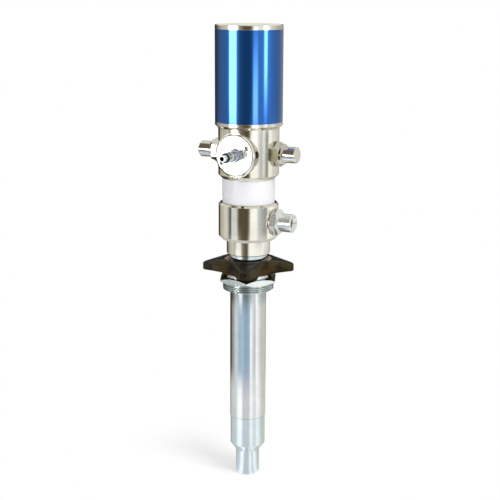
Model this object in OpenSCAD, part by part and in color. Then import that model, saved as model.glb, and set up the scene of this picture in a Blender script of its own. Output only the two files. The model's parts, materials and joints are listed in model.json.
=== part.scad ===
// Air-operated drum pump. A reciprocating air motor stands on a piston pump, whose
// suction tube hangs in a drum from a bung adapter. Millimetres, +Z up. The origin is on
// the pump's axis, at the face of the bung adapter that seats on the drum.
// +X is the outlet side and -Y is the air inlet side.

/* [Air cylinder] */
// Bore of the barrel
barrel_bore = 70; // [68:0.5:71]
// Wall of the barrel
barrel_wall = 3.2; // [2.5:0.1:4]
// Wall of the coloured sleeve round the barrel
sleeve_wall = 0.5; // [0.3:0.1:1]
// Travel of the air piston and the pump piston
stroke = 70; // [50:1:80]
// Thickness of the air piston, both plates
piston_h = 14; // [12:0.5:18]
// Space under the air piston at the bottom of its stroke
piston_base_gap = 1; // [0.5:0.1:3]
// Space over the air piston at the top of its stroke
piston_top_gap = 2; // [1:0.1:4]
// Height of the head above the barrel
head_h = 5.4; // [5:0.1:8]
// Depth of the head's spigot in the barrel
head_spigot_h = 8; // [7:0.5:12]

/* [Motor body] */
// Diameter of the motor body
motor_d = 70; // [68:0.5:72]
// Height of the motor body's plain part under the boss
boss_foot_h = 4.1; // [3:0.1:10]
// Height of the motor body's plain part over the boss
boss_head_h = 3.1; // [3:0.1:8]
// Chamfer round the motor body's foot
motor_chamfer = 4.3; // [2:0.1:5]
// Height of the cone between the body and its flange
flange_cone_h = 3.4; // [2:0.1:5]
// Height of the flange's rim
flange_rim_h = 3.5; // [2:0.1:6]
// Depth of the motor body's spigot in the barrel
motor_spigot_h = 8.3; // [8:0.1:10]

/* [Air inlet] */
// Diameter of the round boss behind the inlet cap
boss_d = 50.6; // [48:0.2:52]
// Distance from the pump's axis to the face of the boss
boss_face = 32.5; // [32:0.1:34]
// Distance from the pump's axis to the face of the inlet cap
cap_face = 36; // [35.5:0.1:38]
// Bevel round the inlet cap
cap_bevel = 2.3; // [1:0.1:2.5]
// Radius of the circle that the two spanner holes lie on
spanner_circle_r = 18.2; // [16:0.1:19]
// Diameter of the spanner holes
spanner_hole_d = 5; // [4:0.1:6]
// Distance from the pump's axis to the nipple's tip
nipple_tip = 65; // [60:0.5:70]
// Bore of the nipple
nipple_bore = 5.2; // [4:0.1:6]

/* [Silencers] */
// Size of the silencers' hexagon across its flats
silencer_af = 24.5; // [23:0.5:26]
// Diameter of the silencers' caps
silencer_cap_d = 18.3; // [17:0.1:20]
// Distance from the pump's axis to the end of a silencer
silencer_end = 62; // [60:0.5:66]

/* [Fluid section] */
// Diameter of the spacer that the label goes round
spacer_d = 60; // [56:0.5:62]
// Height of the spacer between the two bodies
spacer_h = 28.5; // [27:0.5:34]
// Thickness of the label
label_wall = 0.35; // [0.2:0.05:0.5]
// Diameter of the outlet body
outlet_d = 69.4; // [68:0.2:72]
// Height of the outlet body
outlet_h = 43; // [42:0.5:48]
// Chamfer round the outlet body's foot
outlet_chamfer = 4; // [2:0.5:5]
// Chamfer round the outlet body's top
outlet_top_chamfer = 2; // [1:0.1:3]
// Diameter of the neck under the outlet body
neck_d = 50.6; // [50:0.2:54]
// Height of the neck
neck_h = 17.5; // [16:0.5:22]
// Height of the neck's lower face above the drum seat
neck_z = 34; // [33:0.5:40]

/* [Outlet] */
// Diameter over the outlet's pipe thread
outlet_thread_d = 20.9; // [20:0.1:21]
// Bore of the outlet adapter
outlet_bore = 12.4; // [12:0.2:14]
// Size of the outlet adapter's hexagon across its flats
outlet_af = 26; // [25:0.5:27]
// Distance from the pump's axis to the outlet's end
outlet_end = 58; // [55:0.5:64]

/* [Suction tube] */
// Outer diameter of the suction tube
tube_d = 42.4; // [42:0.1:42.6]
// Wall of the suction tube
tube_wall = 3.2; // [3:0.1:3.6]
// Depth of the tube's end below the drum seat
tube_drop = 165.6; // [160:0.2:400]
// Diameter of the foot valve body
foot_d = 41.4; // [41:0.1:42]
// Height of the foot valve body's plain part
foot_h = 35.7; // [34:0.1:45]
// Height of the cone between the foot valve body and its tip
foot_cone_h = 8.7; // [6:0.1:12]
// Diameter of the tip
tip_d = 28; // [26:0.1:30]
// Height of the tip
tip_h = 30.5; // [20:0.5:40]
// Chamfer round the tip's end
tip_chamfer = 3.5; // [1:0.1:4]
// Bore of the tip
tip_bore = 18; // [16:0.5:18.5]

/* [Rods and valves] */
// Diameter of the main rod
rod_d = 16; // [14:0.5:16]
// Length of the pump piston
pump_piston_l = 40; // [38:0.5:44]
// Distance from the foot valve body's spigot to the pump piston at the bottom of its stroke
pump_piston_gap = 12; // [8:0.5:20]
// Diameter of the ball in the pump piston
upper_ball_d = 15; // [14:0.5:16]
// Lift of the ball in the pump piston
upper_ball_lift = 4; // [3:0.5:5]
// Diameter of the ball in the foot valve
foot_ball_d = 18; // [17:0.5:18.5]
// Lift of the ball in the foot valve
foot_ball_lift = 6; // [4:0.5:7]
// Diameter of the trip rod
trip_rod_d = 6; // [5:0.5:6]
// Travel of the trip rod and the slide valve
trip_travel = 6; // [5:0.5:6.5]

/* [Bung adapter] */
// Diameter over the drum thread
drum_thread_d = 59.6; // [59:0.1:60]
// Height of the drum thread
drum_thread_h = 9.7; // [9:0.1:16]
// How far the flats of the adapter's hexagon stand out from the drum thread
adapter_flat_step = 1.7; // [1:0.1:3]
// Height of the adapter's hexagon
adapter_hex_h = 6.8; // [6:0.1:8]
// Turn of the hexagon and the star nut about the pump's axis, in degrees
adapter_turn = 23; // [0:1:60]

/* [Star nut] */
// Reach of the star nut's arms from the axis
star_r = 53.4; // [50:0.2:58]
// Width of an arm at its tip
star_tip_w = 12.4; // [10:0.2:14]
// Radius of the valley between two arms
star_valley_r = 30.8; // [30:0.1:33]
// Height of the star nut's top above the drum seat
star_top_z = 28.2; // [27:0.1:29]
// Fall of an arm's top from the hub to the tip
star_top_fall = 6.6; // [4:0.1:8]
// Thickness of an arm at its tip
star_tip_h = 8.2; // [7:0.1:10]
// Diameter of the skirt at its foot
skirt_d = 61; // [60:0.2:64]

/* [Hidden] */
$fn = 96;

nickel = "#d8d3c8";
zinc = "#bcc9d2";
chrome = "#e4e4e2";
bronze = "#b08d57";
rubber = "#26262a";
blue = "#1d4c9c";
paper = "#eceaf4";
plastic = "#1b1b18";
copper = "#a8735a";

// Clearances and the overrun of every cut
fit_gap = 0.1;
running_gap = 0.05;
seal_gap = 0.1;
part_gap = 0.3;
cut = 1;

// Edge breaks
edge_break = 0.8;
fine_break = 0.4;

// Heights along the pump, from the drum seat
neck_top_z = neck_z + neck_h;
outlet_top_z = neck_top_z + outlet_h;
motor_z = outlet_top_z + spacer_h;
cross_z = motor_z + boss_foot_h + boss_d / 2;
motor_top_z = cross_z + boss_d / 2 + boss_head_h;
barrel_z = motor_top_z + flange_cone_h + flange_rim_h;
motor_spigot_z = barrel_z + motor_spigot_h;
piston_z = motor_spigot_z + piston_base_gap;
piston_top_z = piston_z + piston_h;
head_spigot_z = piston_top_z + stroke + piston_top_gap;
barrel_top_z = head_spigot_z + head_spigot_h;
foot_z = -tube_drop - foot_h;
tip_z = foot_z - foot_cone_h;
tip_end_z = tip_z - tip_h;

// Radii that several pieces share
barrel_r = barrel_bore / 2;
barrel_outer_r = barrel_r + barrel_wall;
flange_r = barrel_outer_r + sleeve_wall;
barrel_spigot_r = barrel_r - fit_gap;
motor_r = motor_d / 2;
rod_r = rod_d / 2;
rod_bush_r = rod_r + running_gap;
rod_seal_r = rod_r + seal_gap;
rod_hole_r = rod_r + 2 * part_gap;
tube_r = tube_d / 2;
tube_bore_r = tube_r - tube_wall;

// O-rings in the barrel's two spigots
ring_section_r = 1.3;
ring_groove_w = 3.2;
ring_groove_d = 2.6;
ring_centre_r = barrel_r - running_gap - ring_section_r;

// Trip rod, its guide and the pockets that its collars run into
trip_r = trip_rod_d / 2;
trip_offset = 25;
trip_hole_r = 5.45;
trip_collar_r = 5;
trip_collar_h = 4;
trip_nut_h = 3;
trip_end_h = 1;
trip_guide_h = 10;
trip_lower_collar_top_z = piston_z - part_gap - trip_travel;
trip_lower_collar_z = trip_lower_collar_top_z - trip_collar_h;
trip_guide_top_z = trip_lower_collar_z - part_gap;
trip_upper_collar_z = piston_top_z + stroke + part_gap;
trip_rod_top_z = trip_upper_collar_z + trip_nut_h + trip_end_h;
head_pocket_top_z = trip_rod_top_z + trip_travel + 2 * part_gap;

// Head
head_spanner_r = 20;
head_spanner_hole_d = 6;
head_spanner_depth = 3;
head_pocket_r = 11;

// Valve chamber, from the pump's axis towards the air inlet
chamber_wall = 6.3;
chamber_r = boss_d / 2 - chamber_wall;
chamber_floor = 13;
seat_plate_h = 3;
seat_plate_w = 24;
seat_plate_l = 28;
port_w = 10;
port_l = 3;
port_pitch = 8;
slide_w = 18;
slide_l = 22;
slide_h = 5.4;
slide_cavity_w = 10;
slide_cavity_l = 13;
slide_cavity_h = 3;
carrier_w = 14;
carrier_l = 24;
carrier_h = 7.1;
trip_tail_h = 2;
seat_face = chamber_floor + seat_plate_h;
slide_face = seat_face + part_gap / 3;
carrier_face = slide_face + slide_h;
trip_mid_z = cross_z - trip_travel / 2;

// Inlet cap
boss_r = boss_d / 2;
cap_r = boss_r - fit_gap * 4;
spot_r = boss_r + part_gap;
cap_thread_step = 3.8;
cap_thread_r = boss_r - cap_thread_step;
cap_thread_l = 3.2;
gasket_h = 0.8;
gasket_margin = 0.5;
gasket_r = cap_r - gasket_margin;
cap_back = boss_face + gasket_h;
spanner_depth = 2.2;
spanner_angle = 30;
inlet_thread_r = 6.58;

// Nipple, as distances along its axis and radii
nipple_hex_af = 14;
nipple_hex_l = 6;
nipple_hex_turn = 30;
nipple_neck_l = 3.5;
nipple_neck_r = 4.7;
nipple_barrel_l = 6.5;
nipple_barrel_r = 5.9;
nipple_groove_l = 3;
nipple_groove_r = 4.2;
nipple_collar_l = 3;
nipple_nose_r = 4.1;
nipple_nose_break = 0.7;

// Silencers, as distances from the pump's axis
silencer_seat = 33;
silencer_hex_l = 10;
silencer_step_l = 3;
silencer_thread_r = 8.3;
silencer_thread_l = 11;
silencer_bore_r = 5.2;
silencer_spigot_l = 4;
silencer_wall = 1.5;
silencer_break = 1.5;
silencer_hole_d = 2.4;
silencer_hole_turns = [0, 35, 70];
silencer_spot_r = 15;
silencer_hex_end = silencer_seat + silencer_hex_l;
silencer_step_end = silencer_hex_end + silencer_step_l;
silencer_cap_r = silencer_cap_d / 2;
silencer_cap_bore_r = silencer_cap_r - silencer_wall;
silencer_cap_floor = silencer_end - silencer_wall - fine_break;
silencer_passage_end = 18;

// Glands
gland_pocket_r = 13;
gland_pocket_h = 10;
rod_bush_h = 5;
rod_seal_h = 3.5;
lower_pocket_r = 15;
lower_gland_h = 10;
lower_seal_h = 4;
lower_web_h = 6;

// Spacer and outlet body
spacer_r = spacer_d / 2;
spacer_shoulder = 4;
spacer_spigot_r = spacer_r - spacer_shoulder;
spacer_lower_spigot_h = 10.5;
spacer_upper_spigot_h = 8;
spacer_skirt_wall = 4;
weep_r = spacer_spigot_r - spacer_skirt_wall;
label_margin = 0.3;
outlet_r = outlet_d / 2;
outlet_chamber_r = 20;
coupling_spigot_r = 23.5;
coupling_spigot_h = 10.5;
coupling_socket_h = 12;
outlet_axis_h = 22.2;
outlet_axis_z = neck_top_z + outlet_axis_h;
outlet_spot = 32.4;
outlet_spot_r = 16;
outlet_thread_r = outlet_thread_d / 2;
outlet_seal_h = 1;
outlet_seal_r = 14.5;
outlet_thread_l = 6;
outlet_hex_l = 8;
outlet_hex_turn = 42;
outlet_port_r = 7.5;
outlet_port_start = 15;
outlet_break = 1.2;
outlet_lip = 1.85;
outlet_cone_lean = 30;
outlet_cone_r = outlet_thread_r - outlet_lip;
outlet_cone_h = (outlet_cone_r - outlet_bore / 2) / tan(outlet_cone_lean);

// Lock ring under the neck
lock_ring_wall = 1.1;
lock_ring_h = 8.8;

// Foot valve
foot_r = foot_d / 2;
foot_spigot_wall = 1.3;
foot_socket_r = tube_bore_r + foot_spigot_wall;
foot_spigot_h = 14;
foot_cavity_r = 12;
foot_seat_h = 6;
foot_seat_bore_r = 6.5;
foot_seat_cone_r = 7.4;
stop_pin_r = 1.3;
stop_pin_z = -tube_drop + foot_spigot_h / 2;
foot_ball_r = foot_ball_d / 2;
foot_ball_z = stop_pin_z - stop_pin_r - part_gap - foot_ball_lift - foot_ball_r;
foot_seat_top_z = foot_ball_z - sqrt(pow(foot_ball_r + part_gap / 2, 2) - pow(foot_seat_cone_r, 2));
foot_seat_z = foot_seat_top_z - foot_seat_h;

// Pump piston and its valve
pump_piston_r = tube_bore_r - part_gap;
pump_piston_z = -tube_drop + foot_spigot_h + pump_piston_gap;
pump_piston_top_z = pump_piston_z + pump_piston_l;
pump_seat_h = 8;
pump_seat_bore_r = 5.5;
pump_seat_cone_r = 6.2;
pump_cavity_r = 10.5;
cage_thread_r = 12;
cage_port_r = 2.2;
cage_port_ring_r = 8.6;
cage_port_count = 4;
upper_ball_r = upper_ball_d / 2;
upper_ball_z = pump_piston_z + pump_seat_h
    + sqrt(pow(upper_ball_r + part_gap / 2, 2) - pow(pump_seat_cone_r, 2));
cage_z = upper_ball_z + upper_ball_r + upper_ball_lift + part_gap;
stud_r = 5;
stud_l = 10;
pump_seal_w = 4;
pump_seal_d = 2.2;
pump_seal_pitch = 8;
pump_seal_rise = 6;
pump_seal_count = 2;
pump_seal_r = tube_bore_r - seal_gap;

// Air piston
piston_plate_r = barrel_r - part_gap;
piston_seal_in_r = 30;
piston_seal_h = 7;
piston_seal_r = barrel_r - seal_gap;
piston_seal_lip = 1.2;
piston_plate_h = piston_h / 2;
piston_mid_z = piston_z + piston_plate_h;
piston_nut_af = 17;
piston_nut_h = 6;
trip_clear_r = trip_r + part_gap;

// Bung adapter, collet and star nut
drum_thread_r = drum_thread_d / 2;
drum_thread_break = 2;
adapter_af = drum_thread_d + 2 * adapter_flat_step;
adapter_bore_r = tube_r + part_gap;
// Turn from the star's arms to the hexagon's corners, which lines up one pair of each
adapter_hex_lead = 360 / 12;
adapter_spigot_r = 25.2;
adapter_spigot_top_z = 15;
collet_cone_r = 24;
collet_cone_h = 6;
collet_flange_r = 24.8;
collet_flange_h = 3.2;
collet_slot_w = 1.6;
collet_slot_count = 4;
collet_gap = part_gap / 2;
tube_seal_r = 1.1;
tube_seal_groove_w = 2.8;
tube_seal_groove_d = 2.2;
tube_seal_depth = 3;
insert_thread_r = adapter_spigot_r + part_gap;
insert_r = 27.2;
insert_lip_h = 2.3;
insert_lip_r = tube_r + lock_ring_wall + 2 * part_gap;
insert_z = adapter_hex_h + 2 * part_gap;
insert_lip_z = adapter_spigot_top_z + collet_gap + collet_flange_h + part_gap;
insert_shoulder_z = insert_lip_z + insert_lip_h;
insert_flange_r = 28;
insert_sink = 1.6;
insert_top_z = star_top_z - insert_sink;
skirt_r = skirt_d / 2;
skirt_z = adapter_hex_h + part_gap;
skirt_waist_r = 29.8;
skirt_waist_z = 18;
hub_top_r = 29.3;
star_arms = 4;
star_arm_root_z = 12.2;
star_round_r = star_tip_w / 2;
star_tip_centre_r = star_r - star_round_r;
// A circle on the bisector of two arms cuts the valley and touches both tip rounds
valley_reach_share = sqrt(0.5);
valley_centre_r = (pow(star_tip_centre_r, 2) - pow(star_valley_r - star_round_r, 2))
    / (2 * (star_tip_centre_r * valley_reach_share - star_valley_r + star_round_r));
valley_cut_r = valley_centre_r - star_valley_r;

// Helpers

module pipe(outer_r, inner_r, low, high) {
    translate([0, 0, low])
        difference() {
            cylinder(r = outer_r, h = high - low);
            translate([0, 0, -cut])
                cylinder(r = inner_r, h = high - low + 2 * cut);
        }
}

module rod(r, low, high) {
    translate([0, 0, low])
        cylinder(r = r, h = high - low);
}

module chamfered_rod(r, low, high, low_break, high_break) {
    rotate_extrude()
        polygon([
            [0, low], [r - low_break, low], [r, low + low_break],
            [r, high - high_break], [r - high_break, high], [0, high]
        ]);
}

module o_ring(centre_r, section_r, height) {
    rotate_extrude()
        translate([centre_r, height])
            circle(r = section_r, $fn = 32);
}

// A hexagon's prism, with its corners turned off at the high end, or at both ends
module hexagon(across_flats, low, high, both_ends = false) {
    corner_r = across_flats / 2 / cos(30);
    overhang = corner_r - across_flats / 2;
    high_break = overhang * tan(30);
    low_overhang = both_ends ? overhang : 0;
    low_break = both_ends ? high_break : 0;
    intersection() {
        translate([0, 0, low])
            cylinder(r = corner_r, h = high - low, $fn = 6);
        rotate_extrude()
            polygon([
                [0, low], [corner_r - low_overhang, low],
                [corner_r, low + low_break], [corner_r, high - high_break],
                [corner_r - overhang, high], [0, high]
            ]);
    }
}

// Children stand on the pump's axis and point at the air inlet
module facing_inlet() {
    translate([0, 0, cross_z])
        rotate([90, 0, 0])
            children();
}

// Children stand on the pump's axis and point sideways, 1 to the right and -1 to the left
module facing_side(side, height) {
    translate([0, 0, height])
        rotate([0, 90 * side, 0])
            children();
}

module at_trip_rod() {
    translate([0, -trip_offset, 0])
        children();
}

module groove(outer_r, depth, width, height) {
    translate([0, 0, height - width / 2])
        difference() {
            cylinder(r = outer_r + cut, h = width);
            translate([0, 0, -cut])
                cylinder(r = outer_r - depth, h = width + 2 * cut);
        }
}

// Air cylinder

module cylinder_head() {
    color(chrome)
        difference() {
            union() {
                chamfered_rod(flange_r, barrel_top_z, barrel_top_z + head_h, 0, edge_break);
                rod(barrel_spigot_r, head_spigot_z, barrel_top_z + edge_break);
            }
            groove(barrel_spigot_r, ring_groove_d, ring_groove_w, head_spigot_z + head_spigot_h / 2);
            rod(head_pocket_r, head_spigot_z - cut, head_spigot_z + piston_nut_h - edge_break);
            at_trip_rod()
                rod(trip_hole_r, head_spigot_z - cut, head_pocket_top_z);
            for (side = [-1, 1])
                translate([side * head_spanner_r, 0, barrel_top_z + head_h - head_spanner_depth])
                    cylinder(d = head_spanner_hole_d, h = head_spanner_depth + cut);
        }
}

module head_seal() {
    color(rubber)
        o_ring(ring_centre_r, ring_section_r, head_spigot_z + head_spigot_h / 2);
}

module air_cylinder() {
    color(nickel)
        pipe(barrel_outer_r, barrel_r, barrel_z, barrel_top_z);
}

module blue_sleeve() {
    color(blue)
        pipe(flange_r, barrel_outer_r, barrel_z, barrel_top_z);
}

module base_seal() {
    color(rubber)
        o_ring(ring_centre_r, ring_section_r, barrel_z + motor_spigot_h / 2);
}

// Motor body

module motor_body_blank() {
    rotate_extrude()
        polygon([
            [0, motor_z], [motor_r - motor_chamfer, motor_z], [motor_r, motor_z + motor_chamfer],
            [motor_r, motor_top_z], [flange_r, motor_top_z + flange_cone_h],
            [flange_r, barrel_z], [barrel_spigot_r, barrel_z],
            [barrel_spigot_r, motor_spigot_z], [0, motor_spigot_z]
        ]);
    facing_inlet()
        rod(boss_r, chamber_floor, boss_face);
}

module motor_body() {
    color(nickel)
        difference() {
            motor_body_blank();
            groove(barrel_spigot_r, ring_groove_d, ring_groove_w, barrel_z + motor_spigot_h / 2);
            rod(rod_hole_r, motor_z - cut, motor_spigot_z + cut);
            rod(gland_pocket_r, motor_spigot_z - gland_pocket_h, motor_spigot_z + cut);
            rod(spacer_spigot_r + fit_gap, motor_z - cut, motor_z + spacer_upper_spigot_h);
            facing_inlet() {
                rod(chamber_r, chamber_floor, boss_face + cut);
                rod(cap_thread_r + fit_gap, boss_face - cap_thread_l - fit_gap, boss_face + cut);
                rod(spot_r, boss_face, motor_r + cut);
            }
            at_trip_rod()
                rod(trip_hole_r, cross_z, motor_spigot_z + cut);
            for (side = [-1, 1])
                facing_side(side, cross_z) {
                    rod(silencer_thread_r + fit_gap, silencer_passage_end, motor_r + cut);
                    rod(silencer_spot_r, silencer_seat, motor_r + cut);
                }
        }
}

module upper_rod_bush() {
    pocket_z = motor_spigot_z - gland_pocket_h;
    color(bronze)
        pipe(gland_pocket_r - fit_gap, rod_bush_r, pocket_z, pocket_z + rod_bush_h);
}

module upper_rod_seal() {
    seal_z = motor_spigot_z - gland_pocket_h + rod_bush_h;
    color(rubber)
        pipe(gland_pocket_r - fit_gap, rod_seal_r, seal_z, seal_z + rod_seal_h);
}

// Air inlet

module inlet_cap() {
    color(chrome)
        facing_inlet()
            difference() {
                union() {
                    chamfered_rod(cap_r, cap_back, cap_face, 0, cap_bevel);
                    rod(cap_thread_r, boss_face - cap_thread_l, cap_back + gasket_h);
                }
                rod(inlet_thread_r, boss_face - cap_thread_l - cut, cap_face + cut);
                for (turn = [0, 180])
                    rotate([0, 0, spanner_angle + turn])
                        translate([spanner_circle_r, 0, cap_face - spanner_depth])
                            cylinder(d = spanner_hole_d, h = spanner_depth + cut);
            }
}

module inlet_cap_gasket() {
    color(rubber)
        facing_inlet()
            pipe(gasket_r, cap_thread_r + fit_gap, boss_face, cap_back);
}

module air_nipple() {
    hex_end = cap_face + nipple_hex_l;
    neck_end = hex_end + nipple_neck_l;
    barrel_end = neck_end + nipple_barrel_l;
    groove_end = barrel_end + nipple_groove_l;
    collar_end = groove_end + nipple_collar_l;
    shank_start = boss_face - cap_thread_l;
    color(zinc)
        facing_inlet()
            difference() {
                union() {
                    rotate([0, 0, nipple_hex_turn])
                        hexagon(nipple_hex_af, cap_face, hex_end);
                    rotate_extrude()
                        polygon([
                            [0, shank_start], [inlet_thread_r - running_gap, shank_start],
                            [inlet_thread_r - running_gap, cap_face], [nipple_neck_r, cap_face],
                            [nipple_neck_r, neck_end], [nipple_barrel_r, neck_end + fine_break],
                            [nipple_barrel_r, barrel_end - edge_break], [nipple_groove_r, barrel_end],
                            [nipple_groove_r, groove_end], [nipple_barrel_r, groove_end + edge_break],
                            [nipple_barrel_r, collar_end - edge_break], [nipple_nose_r, collar_end],
                            [nipple_nose_r, nipple_tip - nipple_nose_break],
                            [nipple_nose_r - nipple_nose_break, nipple_tip], [0, nipple_tip]
                        ]);
                }
                rod(nipple_bore / 2, shank_start - cut, nipple_tip + cut);
            }
}

// Slide valve and its trip rod

module valve_seat() {
    color(bronze)
        facing_inlet()
            difference() {
                translate([-seat_plate_w / 2, -seat_plate_l / 2, chamber_floor])
                    cube([seat_plate_w, seat_plate_l, seat_plate_h]);
                for (step = [-1, 0, 1])
                    translate([-port_w / 2, step * port_pitch - port_l / 2, chamber_floor - cut])
                        cube([port_w, port_l, seat_plate_h + 2 * cut]);
            }
}

module trip_guide() {
    guide_z = trip_guide_top_z - trip_guide_h;
    color(bronze)
        at_trip_rod()
            pipe(trip_hole_r - fit_gap, trip_r + running_gap, guide_z, trip_guide_top_z);
}

module slide_valve() {
    color(bronze)
        translate([0, 0, trip_mid_z])
            rotate([90, 0, 0])
                difference() {
                    translate([-slide_w / 2, -slide_l / 2, slide_face])
                        cube([slide_w, slide_l, slide_h]);
                    translate([-slide_cavity_w / 2, -slide_cavity_l / 2, slide_face - cut])
                        cube([slide_cavity_w, slide_cavity_l, slide_cavity_h + cut]);
                }
}

module valve_carrier() {
    color(nickel)
        difference() {
            translate([0, 0, trip_mid_z])
                rotate([90, 0, 0])
                    translate([-carrier_w / 2, -carrier_l / 2, carrier_face])
                        cube([carrier_w, carrier_l, carrier_h]);
            at_trip_rod()
                rod(trip_r, trip_mid_z - carrier_l, trip_mid_z + carrier_l);
        }
}

module trip_rod() {
    color(chrome)
        at_trip_rod()
            rod(trip_r, trip_mid_z - carrier_l / 2 - trip_tail_h, trip_rod_top_z);
}

module trip_collars() {
    color(nickel)
        at_trip_rod() {
            pipe(trip_collar_r, trip_r, trip_lower_collar_z, trip_lower_collar_top_z);
            pipe(trip_collar_r, trip_r, trip_upper_collar_z, trip_upper_collar_z + trip_nut_h);
        }
}

// Silencers

module silencer_base(side) {
    spigot_end = silencer_step_end + silencer_spigot_l;
    color(nickel)
        facing_side(side, cross_z)
            difference() {
                union() {
                    rod(silencer_thread_r, silencer_seat - silencer_thread_l, silencer_seat);
                    hexagon(silencer_af, silencer_seat, silencer_hex_end);
                    chamfered_rod(silencer_af / 2 - fine_break, silencer_hex_end - fine_break,
                        silencer_step_end, 0, fine_break);
                    rod(silencer_cap_bore_r - fit_gap, silencer_step_end, spigot_end);
                }
                rod(silencer_bore_r, silencer_seat - silencer_thread_l - cut, spigot_end + cut);
            }
}

module silencer_cap(side) {
    color(chrome)
        facing_side(side, cross_z)
            difference() {
                chamfered_rod(silencer_cap_r, silencer_step_end, silencer_end, 0, silencer_break);
                rod(silencer_cap_bore_r, silencer_step_end - cut, silencer_cap_floor);
                for (turn = silencer_hole_turns)
                    translate([0, 0, (silencer_step_end + silencer_spigot_l + silencer_end) / 2])
                        rotate([0, 0, turn * side])
                            rotate([0, 90 * side, 0])
                                cylinder(d = silencer_hole_d, h = silencer_cap_r + cut, $fn = 24);
            }
}

module silencer_element(side) {
    color(bronze)
        facing_side(side, cross_z)
            pipe(silencer_cap_bore_r - 4 * part_gap, silencer_bore_r - fine_break,
                silencer_step_end + silencer_spigot_l, silencer_cap_floor);
}

module silencer_base_right() {
    silencer_base(1);
}

module silencer_base_left() {
    silencer_base(-1);
}

module silencer_cap_right() {
    silencer_cap(1);
}

module silencer_cap_left() {
    silencer_cap(-1);
}

module silencer_element_right() {
    silencer_element(1);
}

module silencer_element_left() {
    silencer_element(-1);
}

// Fluid section

module spacer_tube() {
    web_top_z = outlet_top_z - spacer_lower_spigot_h + lower_gland_h + lower_seal_h + lower_web_h;
    color(nickel)
        difference() {
            union() {
                rod(spacer_spigot_r, outlet_top_z - spacer_lower_spigot_h, motor_z + spacer_upper_spigot_h);
                rod(spacer_r, outlet_top_z, motor_z);
            }
            rod(rod_hole_r, outlet_top_z - spacer_lower_spigot_h - cut, motor_z + cut);
            rod(lower_pocket_r, outlet_top_z - spacer_lower_spigot_h - cut, web_top_z - lower_web_h);
            rod(weep_r, web_top_z, motor_z + spacer_upper_spigot_h + cut);
        }
}

module label_sleeve() {
    color(paper)
        pipe(spacer_r + label_wall, spacer_r, outlet_top_z + label_margin, motor_z - label_margin);
}

module lower_gland() {
    gland_z = outlet_top_z - spacer_lower_spigot_h;
    color(bronze)
        pipe(lower_pocket_r - fit_gap, rod_bush_r, gland_z, gland_z + lower_gland_h);
}

module lower_rod_seal() {
    seal_z = outlet_top_z - spacer_lower_spigot_h + lower_gland_h;
    color(rubber)
        pipe(lower_pocket_r - fit_gap, rod_seal_r, seal_z, seal_z + lower_seal_h);
}

module outlet_body() {
    color(nickel)
        difference() {
            rotate_extrude()
                polygon([
                    [0, neck_top_z], [outlet_r - outlet_chamfer, neck_top_z],
                    [outlet_r, neck_top_z + outlet_chamfer], [outlet_r, outlet_top_z - outlet_top_chamfer],
                    [outlet_r - outlet_top_chamfer, outlet_top_z], [0, outlet_top_z]
                ]);
            rod(coupling_spigot_r + fit_gap, neck_top_z - cut, neck_top_z + coupling_spigot_h);
            rod(outlet_chamber_r, neck_top_z, outlet_top_z - cut);
            rod(spacer_spigot_r + fit_gap, outlet_top_z - spacer_lower_spigot_h, outlet_top_z + cut);
            facing_side(1, outlet_axis_z) {
                rod(outlet_port_r, outlet_port_start, outlet_spot);
                rod(outlet_thread_r + fit_gap, outlet_spot - outlet_thread_l - fit_gap, outlet_r + cut);
                rod(outlet_spot_r, outlet_spot, outlet_r + cut);
            }
        }
}

module outlet_seal() {
    color(copper)
        facing_side(1, outlet_axis_z)
            pipe(outlet_seal_r, outlet_thread_r + fit_gap, outlet_spot, outlet_spot + outlet_seal_h);
}

module outlet_adapter() {
    hex_start = outlet_spot + outlet_seal_h;
    hex_end = hex_start + outlet_hex_l;
    color(zinc)
        facing_side(1, outlet_axis_z)
            difference() {
                union() {
                    rod(outlet_thread_r, outlet_spot - outlet_thread_l, hex_start);
                    rotate([0, 0, outlet_hex_turn])
                        hexagon(outlet_af, hex_start, hex_end);
                    chamfered_rod(outlet_thread_r, hex_start, outlet_end, 0, outlet_break);
                }
                rod(outlet_bore / 2, outlet_spot - outlet_thread_l - cut, outlet_end + cut);
                translate([0, 0, outlet_end - outlet_cone_h])
                    cylinder(r1 = outlet_bore / 2, r2 = outlet_cone_r, h = outlet_cone_h);
                rod(outlet_cone_r, outlet_end, outlet_end + cut);
            }
}

module tube_coupling() {
    color(nickel)
        rotate_extrude()
            polygon([
                [tube_r + fit_gap, neck_z], [neck_d / 2 - edge_break, neck_z],
                [neck_d / 2, neck_z + edge_break], [neck_d / 2, neck_top_z],
                [coupling_spigot_r, neck_top_z], [coupling_spigot_r, neck_top_z + coupling_spigot_h],
                [tube_bore_r, neck_top_z + coupling_spigot_h], [tube_bore_r, neck_z + coupling_socket_h],
                [tube_r + fit_gap, neck_z + coupling_socket_h]
            ]);
}

module lock_ring() {
    outer_r = tube_r + lock_ring_wall;
    color(zinc)
        rotate_extrude()
            polygon([
                [tube_r + fit_gap, neck_z - lock_ring_h], [outer_r - fine_break, neck_z - lock_ring_h],
                [outer_r, neck_z - lock_ring_h + fine_break], [outer_r, neck_z],
                [tube_r + fit_gap, neck_z]
            ]);
}

// Suction tube and foot valve

module suction_tube() {
    color(zinc)
        difference() {
            pipe(tube_r, tube_bore_r, -tube_drop, neck_z + coupling_socket_h);
            rod(foot_socket_r, -tube_drop - cut, -tube_drop + foot_spigot_h);
        }
}

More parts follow.
